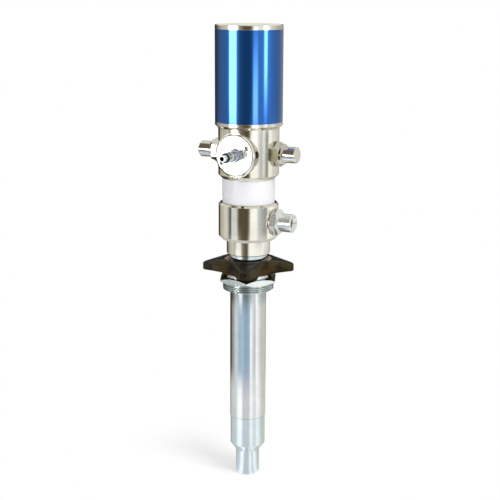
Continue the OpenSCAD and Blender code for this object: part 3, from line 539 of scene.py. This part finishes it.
def make_finishes():
    """Makes every finish once, and returns them by slot."""
    settings = bpy.context.scene.pump_finishes
    made = {}
    for slot, look in METALS.items():
        made[slot] = new_finish(slot, plated_metal, *look, **METAL_DETAILS.get(slot, {}))
    others = {
        "blue_film": (film_finish, settings.film_colour),
        "plain_label": (label_finish, settings.label_colour),
        "black_plastic": (moulded_finish, settings.plastic_colour, settings.plastic_sheen),
        "rubber": (rubber_finish, (0.02, 0.02, 0.02)),
        # The nipple's dark and cool colours are painted shade and a painted reflection of the blue barrel.
        "nipple_steel": (nipple_finish, (0.92, 0.96, 0.95), (0.03, 0.05, 0.045), (0.56, 0.64, 0.8)),
        # The silencer's second colour is painted shade for its front flat.
        "silencer_nickel": (silencer_finish, (0.84, 0.82, 0.78), (0.09, 0.08, 0.05)),
        # The cap's second colour is its painted shade.
        "cap_chrome": (cap_finish, (0.93, 0.92, 0.9), (0.3, 0.28, 0.2)),
        "insert_copper": (insert_finish, (0.72, 0.5, 0.42)),
        "sintered_bronze": (porous_finish, (0.6, 0.44, 0.26)),
    }
    for slot, (write, *colours) in others.items():
        made[slot] = new_finish(slot, write, *(tuple(colour) for colour in colours))
    return made


def dress_nodes():
    """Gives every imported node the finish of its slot."""
    finishes = make_finishes()
    for part in frame["record"]["subparts"]:
        for holder in frame["nodes"][part["node"]].material_slots:
            holder.material = finishes[part["material_slot"]]


# Modelling helpers

def set_mode(mode):
    bpy.ops.object.mode_set(mode=mode)


def clear_selection():
    if bpy.context.object and bpy.context.object.mode != "OBJECT":
        set_mode("OBJECT")
    bpy.ops.object.select_all(action="DESELECT")


def only(piece):
    clear_selection()
    piece.select_set(True)
    bpy.context.view_layer.objects.active = piece


def pick(piece, faces=None, edges=None):
    """In edit mode, selects the faces or edges that a test keeps."""
    mesh = bmesh.from_edit_mesh(piece.data)
    bpy.ops.mesh.select_all(action="DESELECT")
    if faces:
        bpy.ops.mesh.select_mode(type="FACE")
        chosen = [face for face in mesh.faces if faces(face)]
    else:
        bpy.ops.mesh.select_mode(type="EDGE")
        chosen = [edge for edge in mesh.edges if edges(edge)]
    for item in chosen:
        item.select_set(True)
    mesh.select_flush_mode()
    bmesh.update_edit_mesh(piece.data)


def carve(piece, cutter, operation="DIFFERENCE"):
    """Cuts a piece with another one, or joins or crosses the two, and removes the other one."""
    only(piece)
    modifier = piece.modifiers.new("boolean", "BOOLEAN")
    modifier.object = cutter
    modifier.operation = operation
    modifier.solver = "MANIFOLD"
    bpy.ops.object.modifier_apply(modifier=modifier.name)
    bpy.data.objects.remove(cutter)


def settle(piece, name, body, slot, smooth_angle):
    """Applies a finished piece's place, and gives it its name, finish, body and slot."""
    only(piece)
    bpy.ops.object.transform_apply(location=True, rotation=True, scale=True)
    bpy.ops.object.shade_smooth_by_angle(angle=math.radians(smooth_angle))
    piece.name = name
    piece.data.name = name
    piece.data.materials.clear()
    piece.data.materials.append(bpy.data.materials[finish_name(slot)])
    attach(piece, body)


def turned(add_shape, low, high, vertices, **radii):
    """A round shape on the pump's axis, between two heights."""
    clear_selection()
    add_shape(vertices=vertices, depth=high - low, location=(0, 0, (low + high) / 2), **radii)
    piece = bpy.context.object
    bpy.ops.object.transform_apply(location=True, rotation=True, scale=True)
    return piece


def turned_bar(radius, low, high, vertices):
    """A plain bar, to be shaped or to cut with; with few vertices it is a prism."""
    return turned(bpy.ops.mesh.primitive_cylinder_add, low, high, vertices, radius=radius)


def turned_cone(low_radius, high_radius, low, high, vertices):
    """A plain cone, to cut with."""
    radii = {"radius1": low_radius, "radius2": high_radius}
    return turned(bpy.ops.mesh.primitive_cone_add, low, high, vertices, **radii)


def straight_share(value, low, high):
    """0 below low and 1 above high, with a straight rise between."""
    return min(max((value - low) / (high - low), 0), 1)


# Hand nut

TOP_STEPS, SIDE_STEPS, UNDER_STEPS = 8, 4, 6
ROUND_ROWS = 6
LOBE_BLUR = math.radians(8)
WINDOW_DROP = 1 * MM
SEAM_LAP = 0.1 * MM
SKIRT_BREAK = 0.4 * MM


class StarOutline:
    """The hand nut's plan: round tips joined by hollow arcs, all tangent to each other."""

    def __init__(self, settings):
        self.tip_radius = settings.tip_width / 2
        self.tip_centre = settings.reach - self.tip_radius
        half = math.sqrt(0.5)
        inner = settings.valley_radius - self.tip_radius
        along = (self.tip_centre ** 2 - inner ** 2) / (2 * (self.tip_centre * half - inner))
        self.hollow_centre = Vector((along * half, along * half))
        self.hollow_radius = along - settings.valley_radius
        reach = self.hollow_centre - Vector((self.tip_centre, 0))
        self.tip_turn = math.atan2(reach.y, reach.x)
        self.hollow_turn = self.tip_turn - math.radians(45)

    def point(self, share):
        """A point of one half arm and the way out from it: 0 is the tip, 1 the valley."""
        tip_length = self.tip_radius * self.tip_turn
        hollow_length = self.hollow_radius * self.hollow_turn
        travel = share * (tip_length + hollow_length)
        if travel <= tip_length:
            turn = travel / self.tip_radius
            out = facing(turn).xy
            return Vector((self.tip_centre, 0)) + out * self.tip_radius, out
        turn = self.tip_turn - (travel - tip_length) / self.hollow_radius
        out = facing(turn).xy
        return self.hollow_centre - out * self.hollow_radius, out

    def all_round(self, count):
        """The same points on all four arms, anticlockwise from the middle of a tip."""
        points = []
        for index in range(count):
            eighth, share = divmod(index * 8 / count, 1)
            if eighth % 2:
                place, out = self.point(1 - share)
                place, out = place.yx, out.yx
            else:
                place, out = self.point(share)
            turn = Matrix.Rotation(math.radians(90) * (eighth // 2), 2)
            points.append((turn @ place, turn @ out))
        return points


def arm_gap(place, lobe_half):
    """1 between two arms and 0 under an arm, where the skirt has a lobe, with a smooth step."""
    quarter = math.radians(90)
    turn = abs(math.atan2(place.y, place.x))
    off_arm = abs((turn + quarter / 2) % quarter - quarter / 2)
    share = straight_share(off_arm, lobe_half - LOBE_BLUR / 2, lobe_half + LOBE_BLUR / 2)
    return share * share * (3 - 2 * share)


def nut_section(settings, place, out):
    """One section of the nut, as points from the bore's top edge outwards and round to it."""
    heading = place.to_3d().normalized()

    def lifted(spot, height):
        return Vector((spot.x, spot.y, height))

    def ring(radius, height):
        return heading * radius + Vector((0, 0, height))

    def share_out(radius):
        return straight_share(radius, settings.hub_radius, settings.reach)

    def top(radius):
        return settings.top_height - settings.top_fall * share_out(radius)

    def foot(radius):
        return settings.root_height + settings.foot_rise * share_out(radius)

    def on_edge(inset, height):
        return lifted(place - out * inset, height)

    rounding, low_rounding = settings.edge_round, settings.foot_round
    rim, mouth = place.length, settings.mouth_round
    rows = [
        ring(settings.opening_radius, settings.top_height - mouth),
        ring(settings.opening_radius + mouth * 0.3, settings.top_height - mouth * 0.3),
        ring(settings.opening_radius + mouth, settings.top_height),
    ]
    inner, outer = rows[-1].xy, place - out * rounding
    for step in range(1, TOP_STEPS):
        spot = inner.lerp(outer, step / TOP_STEPS)
        rows.append(lifted(spot, top(spot.length)))
    quarter_turns = [math.radians(90) * row / (ROUND_ROWS - 1) for row in range(ROUND_ROWS)]
    for turn in quarter_turns:
        inset, drop = rounding * (1 - math.sin(turn)), rounding * (1 - math.cos(turn))
        rows.append(on_edge(inset, top(rim) - drop))
    side_height = top(rim) - foot(rim) - rounding - low_rounding
    for step in range(1, SIDE_STEPS):
        rows.append(on_edge(0, top(rim) - rounding - side_height * step / SIDE_STEPS))
    for turn in quarter_turns:
        inset, lift = low_rounding * (1 - math.cos(turn)), low_rounding * (1 - math.sin(turn))
        rows.append(on_edge(inset, foot(rim) + lift))

    lean = (settings.skirt_radius - settings.waist_radius) / (settings.waist_height - settings.skirt_low)

    def skirt_radius(height):
        return settings.skirt_radius - lean * (height - settings.skirt_low)

    root_radius = skirt_radius(settings.root_height)
    outer, inner = rows[-1].xy, ring(root_radius, 0).xy
    for step in range(1, UNDER_STEPS):
        spot = outer.lerp(inner, step / UNDER_STEPS)
        rows.append(lifted(spot, foot(spot.length)))
    window_top = settings.root_height - WINDOW_DROP
    gap = arm_gap(place, settings.lobe_half)
    skirt_low = settings.skirt_low + (window_top - settings.skirt_low) * gap
    rows += [
        ring(root_radius, settings.root_height - SEAM_LAP),
        ring(skirt_radius(skirt_low + SKIRT_BREAK), skirt_low + SKIRT_BREAK),
        ring(skirt_radius(skirt_low) - SKIRT_BREAK, skirt_low),
        ring(settings.seat_radius, skirt_low),
        ring(settings.seat_radius, settings.seat_top),
        ring(settings.opening_radius, settings.seat_top),
    ]
    return rows


def make_hand_nut():
    """A ring is added and its sections are pulled out into four arms over a skirt."""
    settings = bpy.context.scene.pump_hand_nut
    points = StarOutline(settings).all_round(settings.sections)
    rows = len(nut_section(settings, *points[0]))
    clear_selection()
    bpy.ops.mesh.primitive_torus_add(
        major_segments=settings.sections, minor_segments=rows,
        major_radius=settings.reach, minor_radius=settings.tip_width)
    nut = bpy.context.object
    for index, (place, out) in enumerate(points):
        for row, spot in enumerate(nut_section(settings, place, out)):
            nut.data.vertices[index * rows + row].co = spot
    set_mode("EDIT")
    bpy.ops.mesh.select_all(action="SELECT")
    bpy.ops.mesh.normals_make_consistent(inside=False)
    set_mode("OBJECT")
    nut.rotation_euler.z = settings.turn
    settle(nut, "hand_nut_grip", "hand_nut", "black_plastic", 40)
    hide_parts("star_nut")


# Bung adapter

COLLAR_SIDES, THREAD_SIDES, BORE_SIDES = 192, 240, 128
THREAD_ROWS = 120
ROOT_FLAT = 0.2
SPIGOT_BEVEL = 0.6 * MM
PAST_END = 2 * MM


def hexagon_collar(settings):
    """The hexagon, with its corners turned off to the circle inside its flats."""
    corner = settings.across_flats / 2 / math.cos(math.radians(30))
    collar = turned_bar(corner, 0, settings.hexagon_height, 6)
    first = collar.data.vertices[0].co
    collar.rotation_euler.z = settings.corner_heading - math.atan2(first.y, first.x)
    bpy.ops.object.transform_apply(rotation=True)
    drop = (corner - settings.across_flats / 2) * math.tan(math.radians(30))
    lathe = turned_bar(corner + CLOSE, drop, settings.hexagon_height - drop, COLLAR_SIDES)
    set_mode("EDIT")
    flat_share = settings.across_flats / 2 / corner
    for side in (1, -1):
        pick(lathe, faces=lambda face: face.normal.z * side > 0.9)
        bpy.ops.mesh.extrude_region_move(TRANSFORM_OT_translate={"value": (0, 0, side * drop)})
        bpy.ops.transform.resize(value=(flat_share, flat_share, 1))
    set_mode("OBJECT")
    carve(collar, lathe, "INTERSECT")
    return collar


def cut_thread(bar, settings):
    """Moves a finely divided bar's wall in and out along a right-hand helix."""
    crest, run_out = settings.thread_radius, settings.thread_run_out
    root = crest - settings.thread_depth
    break_low, break_high = root - run_out / 2, crest + run_out / 2
    mesh = bmesh.new()
    mesh.from_mesh(bar.data)
    for vertex in mesh.verts:
        radius, height = vertex.co.xy.length, vertex.co.z
        if radius < root:
            continue
        turn = math.atan2(vertex.co.y, vertex.co.x) / (2 * math.pi)
        phase = (height / settings.thread_pitch - turn) % 1
        ridge = straight_share(1 - abs(2 * phase - 1), ROOT_FLAT, 1 - ROOT_FLAT)
        wanted = root + (crest - root) * ridge * straight_share(-height, 0, run_out)
        lead = straight_share(height + settings.thread_length, 0, run_out)
        vertex.co.xy *= min(wanted, break_low + (break_high - break_low) * lead) / radius
    mesh.to_mesh(bar.data)
    mesh.free()


def make_bung_adapter():
    """The hexagon with a spigot over it and the drum thread under it, bored for the tube."""
    settings = bpy.context.scene.pump_adapter
    bottom, middle, top = -settings.thread_length, settings.hexagon_height / 2, settings.spigot_top
    collar = hexagon_collar(settings)
    spigot = turned_bar(settings.spigot_radius, middle, top, BORE_SIDES)
    set_mode("EDIT")
    pick(spigot, edges=lambda edge: all(vertex.co.z > top - CLOSE for vertex in edge.verts))
    bpy.ops.mesh.bevel(offset=SPIGOT_BEVEL, segments=2, affect="EDGES")
    set_mode("OBJECT")
    carve(collar, spigot, "UNION")
    shank = turned_bar(settings.thread_radius, bottom, middle, THREAD_SIDES)
    set_mode("EDIT")
    pick(shank, edges=lambda edge: abs(edge.verts[0].co.z - edge.verts[1].co.z) > CLOSE)
    bpy.ops.mesh.subdivide(number_cuts=THREAD_ROWS)
    set_mode("OBJECT")
    cut_thread(shank, settings)
    carve(collar, shank, "UNION")
    carve(collar, turned_bar(settings.bore_radius, bottom - PAST_END, top + PAST_END, BORE_SIDES))
    cone_low, cone_high = top - settings.cone_height, top + CLOSE / 3
    carve(collar, turned_cone(
        settings.bore_radius, settings.cone_radius, cone_low, cone_high, BORE_SIDES))
    settle(collar, "drum_collar", "drum_adapter", "bung_zinc", 30)
    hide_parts("bung_adapter")


# Studio

def wall_ramp(recipe, turn, stops):
    """Colours round the horizon: 0 degrees lies behind the camera, and 90 to its right."""
    share = turn / (2 * math.pi) + 0.5
    return recipe.ramp(share, [(degrees / 360 + 0.5, tone) for degrees, tone in stops])


BLACK = (0.045, 0.045, 0.035)
BROWN = (0.11, 0.085, 0.05)
UMBER = (0.22, 0.19, 0.15)
SLATE = (0.12, 0.16, 0.15)
DUSK = (0.34, 0.31, 0.27)
STEEL = (0.38, 0.4, 0.4)
TAN = (0.5, 0.46, 0.39)
STONE = (0.66, 0.65, 0.58)
HAZE = (0.56, 0.6, 0.66)
LILAC = (0.68, 0.67, 0.7)
MIST = (0.74, 0.78, 0.82)
PALE = (0.86, 0.86, 0.83)
WHITE = (1.15, 1.15, 1.12)
# Heading in degrees and colour there, for each band of the room's walls and of the floor
HIGH_WALLS = [
    (-180, BLACK), (-142, BLACK), (-126, UMBER), (-107, TAN), (-78, STONE), (-71, WHITE),
    (-44, WHITE), (-38, PALE), (-32, DUSK), (-25, UMBER), (-15, BROWN), (2, BROWN), (8, UMBER),
    (14, STONE), (22, PALE), (72, WHITE), (81, MIST), (92, STONE), (112, TAN), (145, TAN), (165, DUSK),
    (180, BLACK),
]
MIDDLE_WALLS = [
    (-180, BLACK), (-144, BLACK), (-134, TAN), (-84, STONE), (-75, DUSK), (-69, PALE),
    (-62, WHITE), (-43, WHITE), (-37, TAN), (-31, UMBER), (-15, BROWN), (-2, BROWN), (4, DUSK),
    (9, WHITE), (33, WHITE), (40, MIST), (50, HAZE), (56, PALE), (62, PALE), (69, STEEL),
    (76, STEEL), (83, WHITE), (93, WHITE), (102, PALE), (150, STONE), (165, DUSK), (180, BLACK),
]
LOW_WALLS = [
    (-180, BLACK), (-146, BLACK), (-136, TAN), (-112, STONE), (-95, PALE), (-83, TAN),
    (-77, SLATE), (-71, SLATE), (-67, MIST), (-47, MIST), (-42, DUSK), (-36, BROWN),
    (-15, BROWN), (-3, BROWN), (3, DUSK), (9, WHITE), (31, WHITE), (37, MIST), (46, HAZE),
    (64, STEEL), (74, STEEL), (81, WHITE), (100, WHITE), (120, PALE), (150, STONE), (165, DUSK),
    (180, BLACK),
]
NECK_WALLS = [
    (-180, BLACK), (-144, BLACK), (-130, DUSK), (-116, TAN), (-100, STONE), (-76, STONE),
    (-66, WHITE), (-42, WHITE), (-34, TAN), (-25, UMBER), (-9, BROWN), (-3, DUSK), (3, WHITE),
    (82, WHITE), (94, PALE), (145, STONE), (160, DUSK), (180, BLACK),
]
THREAD_WALLS = [
    (-180, BLACK), (-112, BLACK), (-100, SLATE), (-90, STEEL), (-63, (0.4, 0.46, 0.45)), (-57, WHITE),
    (-41, WHITE), (-35, SLATE), (14, SLATE), (24, STEEL), (32, HAZE), (46, HAZE), (51, WHITE),
    (60, WHITE), (66, STONE), (78, HAZE), (86, STEEL), (145, STEEL), (165, SLATE), (180, BLACK),
]
FAR_FLOOR = [
    (-180, BLACK), (-136, BLACK), (-118, DUSK), (-106, STEEL), (-92, STONE), (-76, MIST),
    (-60, (0.42, 0.55, 0.68)), (-30, (0.45, 0.58, 0.74)), (-18, (0.34, 0.46, 0.58)),
    (8, (0.38, 0.5, 0.66)), (17, WHITE), (30, PALE), (42, HAZE), (58, WHITE), (74, PALE),
    (92, STONE), (130, STONE), (160, STEEL), (180, BLACK),
]
NEAR_FLOOR = [
    (-180, BLACK), (-150, DUSK), (-124, STONE), (-100, LILAC), (-76, MIST), (-64, WHITE),
    (-40, WHITE), (-30, LILAC), (6, LILAC), (20, WHITE), (36, PALE), (48, PALE), (62, WHITE),
    (84, PALE), (104, STONE), (150, STONE), (180, STEEL),
]


# Elevations in degrees between which the walls change, upwards from the thread's
WALL_BANDS = [
    (-14.4, -13.9, NECK_WALLS), (-12.9, -12.2, LOW_WALLS),
    (-10.4, -9.5, MIDDLE_WALLS), (-7.0, -6.6, HIGH_WALLS),
]
# Setting of the strength, left and right heading, and soft lower and upper edge
SOFT_BOXES = [
    ("left_box", -69, -43, (-6.9, -6.6), (-1, 2)),
    ("right_box", 52, 64, (-6.9, -3.5), (-1, 2)),
    ("low_box", 14, 30, (-6.9, -6.6), (-6.4, -1.5)),
]
BOX_BLUR = 3
SKY, LEFT_SKY, FAR_SKY = (0.8, 0.79, 0.74), (0.16, 0.13, 0.09), (0.012, 0.009, 0.006)
FAR_STRIP = (0.85, 0.8, 0.7)
LEFT_GROUND, RIGHT_GROUND = (0.05, 0.045, 0.035), (0.6, 0.58, 0.52)
LIGHT = (1, 1, 1, 1)
NEAR_FLOOR_EDGE, FAR_FLOOR_EDGE = 310 * MM, 430 * MM
FLOOR_PAINT = (0.86, 0.86, 0.86)


def bearings(recipe, vector, heading):
    """How far a vector reaches towards the camera and to its right, and the angle of the two."""
    ahead = recipe.dot(vector, facing(heading))
    aside = recipe.dot(vector, facing(heading + math.pi / 2))
    return ahead, aside, aside.maths("ARCTAN2", ahead)


def climb(recipe, height, low, high):
    """Rises between two elevations in degrees, where height is the Z of a direction."""
    return recipe.rise(height, math.sin(math.radians(low)), math.sin(math.radians(high)))


def soft_box(recipe, turn, height, left, right, low, high):
    """A bright card between two headings and two soft edges of elevation, all in degrees."""
    sides = recipe.rise(turn, math.radians(left - BOX_BLUR), math.radians(left + BOX_BLUR)) * (
        1 - recipe.rise(turn, math.radians(right - BOX_BLUR), math.radians(right + BOX_BLUR)))
    return sides * climb(recipe, height, *low) * (1 - climb(recipe, height, *high))


def room_colour(recipe, ahead, aside, turn, height):
    """Walls in bands, a sky over them and a ground that is dark at the left."""
    def above(low, high):
        return climb(recipe, height, low, high)

    room = wall_ramp(recipe, turn, THREAD_WALLS)
    for low, high, walls in WALL_BANDS:
        room = recipe.mix(above(low, high), room, wall_ramp(recipe, turn, walls))
    far = 1 - recipe.rise(ahead, -0.92, -0.8)
    leftward = (1 - recipe.rise(aside, -0.25, 0.1)) * recipe.rise(ahead, -0.35, -0.1)
    sky = recipe.mix(leftward * (1 - above(58, 72)), rgba(SKY), rgba(LEFT_SKY))
    sky = recipe.mix(far * (1 - above(20, 34)), sky, rgba(FAR_SKY))
    room = recipe.mix(above(3, 14), room, sky)
    room = recipe.mix(far * above(0, 1) * (1 - above(3, 5)), room, rgba(FAR_STRIP))
    ground = recipe.mix(recipe.rise(aside, -0.1, 0.2), rgba(LEFT_GROUND), rgba(RIGHT_GROUND))
    return recipe.mix(above(-18, -15.5), ground, room)


def studio_world(settings):
    """White for the camera, an even level for diffuse light, and a room of soft boxes for gloss."""
    world = bpy.data.worlds.new("studio")
    bpy.context.scene.world = world
    recipe = Recipe(world)
    direction = recipe.node("TexCoord")["Generated"]
    ahead, aside, turn = bearings(recipe, direction, settings.heading)
    height = recipe.parts(direction)["Z"]
    glow = 0
    for name, *edges in SOFT_BOXES:
        glow = glow + soft_box(recipe, turn, height, *edges) * getattr(settings, name)
    room = recipe.background(room_colour(recipe, ahead, aside, turn, height), 1.0)
    gloss = recipe.add_shaders(recipe.background(LIGHT, glow), room)
    even = recipe.background(LIGHT, settings.ambient * (1 + settings.frontal * ahead))
    path = recipe.node("LightPath")
    shiny = path["Is Glossy Ray"].maths("MAXIMUM", path["Is Transmission Ray"])
    lit = recipe.mix_shaders(shiny, even, gloss)
    seen = recipe.mix_shaders(path["Is Camera Ray"], lit, recipe.background(LIGHT, 1.0))
    recipe.node("OutputWorld", None, {"Surface": seen})


def floor_finish(recipe, settings):
    """Pale floor that runs into the white background and keeps the object's shadow."""
    where = recipe.place()
    distance = recipe.vector("DISTANCE", where, (0, 0, 0), "Value")
    turn = bearings(recipe, where, settings.heading)[-1]
    pattern = recipe.mix(
        recipe.rise(distance, NEAR_FLOOR_EDGE, FAR_FLOOR_EDGE),
        wall_ramp(recipe, turn, NEAR_FLOOR), wall_ramp(recipe, turn, FAR_FLOOR))
    paint = recipe.node("BsdfDiffuse", None, {"Color": rgba(FLOOR_PAINT)})["BSDF"]
    lit = recipe.add_shaders(paint, recipe.emission(LIGHT, settings.floor_lift))
    edge = recipe.rise(distance, settings.floor_clear * 0.4, settings.floor_clear)
    seen = recipe.mix_shaders(edge, lit, recipe.emission(LIGHT, 1.0))
    path = recipe.node("LightPath")
    reflected = recipe.mix_shaders(path["Is Glossy Ray"], paint, recipe.emission(pattern, 1.0))
    both = recipe.mix_shaders(path["Is Camera Ray"], reflected, seen)
    recipe.node("OutputMaterial", None, {"Surface": both})


def make_floor(settings):
    clear_selection()
    bpy.ops.mesh.primitive_circle_add(
        vertices=96, radius=settings.floor_radius, fill_type="NGON",
        location=(0, 0, CAD_LOW.z - CLOSE))
    floor = bpy.context.object
    floor.name = "studio_floor"
    floor.data.materials.append(new_finish("studio_floor", floor_finish, settings))


def make_lamp(name, heading, elevation, distance, size, power):
    lamp = bpy.data.lights.new(name, "AREA")
    lamp.shape = "DISK"
    lamp.size = size
    lamp.energy = power
    holder = bpy.data.objects.new(name, lamp)
    bpy.context.scene.collection.objects.link(holder)
    away = facing(heading) * math.cos(elevation) + Vector((0, 0, math.sin(elevation)))
    holder.location = away * distance
    holder.rotation_euler = (-away).to_track_quat("-Z", "Y").to_euler()
    holder.visible_glossy = False


def make_camera(settings):
    """The photograph's view: aimed beside the axis and pitched down."""
    lens = bpy.data.cameras.new("camera")
    lens.sensor_width = 36
    lens.lens = settings.lens
    lens.clip_start, lens.clip_end = 0.01, 50
    holder = bpy.data.objects.new("camera", lens)
    bpy.context.scene.collection.objects.link(holder)
    bpy.context.scene.camera = holder
    away = facing(settings.heading)
    holder.location = away * settings.distance + Vector((0, 0, settings.height))
    look = (
        Matrix.Rotation(-settings.aside, 3, "Z")
        @ Matrix((Vector((-away.y, away.x, 0)), Vector((0, 0, 1)), away)).transposed()
        @ Matrix.Rotation(-settings.pitch, 3, "X")
        @ Matrix.Rotation(settings.roll, 3, "Z")
    )
    holder.rotation_euler = look.to_euler()


def make_stage():
    scene = bpy.context.scene
    settings = scene.pump_studio
    scene.view_settings.view_transform = "Standard"
    make_camera(settings)
    studio_world(settings)
    make_floor(settings)
    make_lamp(
        "key_lamp", heading=settings.heading + math.radians(42), elevation=math.radians(50),
        distance=1.6, size=0.7, power=settings.key_power)


# Settings that a user would change

def metres(name, description, default):
    return bpy.props.FloatProperty(
        name=name, description=description, default=default, min=0.0, unit="LENGTH", precision=5)


def angle(name, description, degrees):
    return bpy.props.FloatProperty(
        name=name, description=description, default=math.radians(degrees), unit="ROTATION")


def colour(name, description, default):
    return bpy.props.FloatVectorProperty(
        name=name, description=description, default=default, size=3, min=0.0, max=1.0,
        subtype="COLOR")


def amount(name, description, default):
    return bpy.props.FloatProperty(name=name, description=description, default=default, min=0.0)


NUT_LOW, NUT_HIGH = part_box("star_nut")
ADAPTER_LOW, ADAPTER_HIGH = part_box("bung_adapter")


class PumpFinishes(bpy.types.PropertyGroup):
    film_colour: colour("Film", "Colour of the film round the air cylinder", (0.01, 0.13, 0.5))
    label_colour: colour("Label", "Colour of the label stock", (0.93, 0.93, 0.96))
    plastic_colour: colour("Plastic", "Colour of the hand nut", (0.002, 0.0016, 0.0012))
    # The sheen colour is painted on the hand nut's upright sides as reflection.
    plastic_sheen: colour("Plastic sheen", "Colour where the hand nut is rubbed", (0.042, 0.022, 0.003))


class PumpHandNut(bpy.types.PropertyGroup):
    reach: metres("Reach", "From the axis to the tip of an arm", 0.0534)
    tip_width: metres("Tip width", "Width of an arm at its tip", 0.0124)
    valley_radius: metres("Valley", "From the axis to the wall between two arms", 0.0308)
    hub_radius: metres("Hub", "Radius where the top begins to fall", 0.0293)
    top_height: metres("Top", "Height of the top at the opening", NUT_HIGH.z)
    top_fall: metres("Fall", "How far an arm's top falls to its tip", 0.0066)
    root_height: metres("Root", "Height of an arm's underside at the skirt", 0.0122)
    foot_rise: metres("Rise", "How far an arm's underside rises to its tip", 0.0012)
    edge_round: metres("Edges", "Rounding of the arms' upper edges", 0.0013)
    foot_round: metres("Lower edges", "Rounding of the arms' lower edges", 0.0005)
    mouth_round: metres("Mouth", "Rounding of the opening's edge", 0.0008)
    opening_radius: metres("Opening", "Radius of the opening in the top", 0.02805)
    seat_radius: metres("Seat", "Radius of the bore for the threaded insert", 0.02725)
    seat_top: metres("Seat top", "Height of the shoulder that carries the insert", 0.02095)
    skirt_radius: metres("Skirt", "Radius of the skirt at its foot", 0.0305)
    skirt_low: metres("Skirt foot", "Height of the skirt's foot", NUT_LOW.z)
    waist_radius: metres("Waist", "Radius of the skirt at its waist", 0.0298)
    waist_height: metres("Waist height", "Height of the skirt's waist", 0.018)
    lobe_half: angle("Lobes", "Half the width of the skirt's lobe under an arm", 25)
    turn: angle("Turn", "Heading of the first arm", 23)
    sections: bpy.props.IntProperty(
        name="Sections", description="Sections round the nut", default=224, min=32, max=512)


class PumpAdapter(bpy.types.PropertyGroup):
    across_flats: metres("Across flats", "Size of the hexagon", 0.063)
    hexagon_height: metres("Hexagon height", "Height of the hexagon", 0.0068)
    corner_heading: angle("Corner heading", "Heading of one corner of the hexagon", 53)
    spigot_radius: metres("Spigot", "Radius of the spigot under the hand nut", 0.0252)
    spigot_top: metres("Spigot top", "Height of the spigot", ADAPTER_HIGH.z)
    thread_radius: metres("Thread", "Radius over the drum thread", 0.0298)
    thread_depth: metres("Thread depth", "From the crest to the root", 0.001479)
    thread_pitch: metres("Pitch", "From one ridge to the next", 0.002309)
    thread_length: metres("Thread length", "Length of the threaded shank", -ADAPTER_LOW.z)
    thread_run_out: metres("Run-out", "Where the thread fades in and out", 0.0016)
    bore_radius: metres("Bore", "Radius of the hole for the suction tube", 0.0215)
    cone_radius: metres("Cone", "Radius of the collet's seat at the top", 0.024)
    cone_height: metres("Cone height", "Depth of the collet's seat", 0.006)


class PumpStudio(bpy.types.PropertyGroup):
    heading: angle("Heading", "Heading of the camera as seen from the pump", -63)
    distance: metres("Distance", "From the axis to the camera, along the floor", 1.3116)
    height: metres("Height", "Height of the camera above the drum seat", 0.3395)
    pitch: angle("Pitch", "How far the camera looks down", 13)
    aside: angle("Aside", "How far the camera aims to the right of the axis", 0.085)
    roll: angle("Roll", "How far the camera leans", 0.234)
    lens: bpy.props.FloatProperty(
        name="Lens", description="Focal length in millimetres", default=82.8, min=1, unit="CAMERA")
    ambient: amount("Ambient", "Level of the even light", 0.68)
    frontal: amount("Frontal", "How much more of the even light comes from the front", 0.4)
    left_box: amount("Left box", "Strength of the soft box on the left", 12)
    right_box: amount("Right box", "Strength of the soft box on the right", 8)
    low_box: amount("Low box", "Strength of the low soft box on the right", 5)
    key_power: amount("Key", "Power of the key lamp in watts", 9)
    floor_radius: metres("Floor", "Radius of the floor", 0.8)
    floor_clear: metres("Floor clear", "Radius outside which no shadow shows", 0.2)
    floor_lift: amount("Floor lift", "Light added to the floor for the camera", 0.28)


# Operators and panel

class Step:
    """What the operators share: each runs its action."""

    def execute(self, context):
        self.action()
        return {"FINISHED"}


class PUMP_OT_finishes(Step, bpy.types.Operator):
    """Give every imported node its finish"""

    bl_idname = "pump.finishes"
    bl_label = "Finishes"
    action = staticmethod(dress_nodes)


class PUMP_OT_hand_nut(Step, bpy.types.Operator):
    """Model the four-armed hand nut"""

    bl_idname = "pump.hand_nut"
    bl_label = "Hand nut"
    action = staticmethod(make_hand_nut)


class PUMP_OT_bung_adapter(Step, bpy.types.Operator):
    """Model the hexagon with its drum thread"""

    bl_idname = "pump.bung_adapter"
    bl_label = "Bung adapter"
    action = staticmethod(make_bung_adapter)


class PUMP_OT_stage(Step, bpy.types.Operator):
    """Set the floor, the light and the camera"""

    bl_idname = "pump.stage"
    bl_label = "Studio"
    action = staticmethod(make_stage)


OPERATORS = (PUMP_OT_finishes, PUMP_OT_hand_nut, PUMP_OT_bung_adapter, PUMP_OT_stage)
GROUPS = {
    "pump_finishes": PumpFinishes, "pump_hand_nut": PumpHandNut,
    "pump_adapter": PumpAdapter, "pump_studio": PumpStudio,
}


class PUMP_PT_sidebar(bpy.types.Panel):
    bl_label = "Drum pump"
    bl_idname = "PUMP_PT_sidebar"
    bl_space_type = "VIEW_3D"
    bl_region_type = "UI"
    bl_category = "Drum pump"

    def draw(self, context):
        for operator in OPERATORS:
            self.layout.operator(operator.bl_idname)


CLASSES = (*GROUPS.values(), *OPERATORS, PUMP_PT_sidebar)


def register():
    for group in CLASSES:
        bpy.utils.register_class(group)
    for name, group in GROUPS.items():
        setattr(bpy.types.Scene, name, bpy.props.PointerProperty(type=group))


def unregister():
    for name in GROUPS:
        delattr(bpy.types.Scene, name)
    for group in CLASSES:
        bpy.utils.unregister_class(group)


def main():
    register()
    bpy.ops.pump.finishes()
    bpy.ops.pump.hand_nut()
    bpy.ops.pump.bung_adapter()
    bpy.ops.pump.stage()
    clear_selection()


if __name__ == "__main__":
    main()
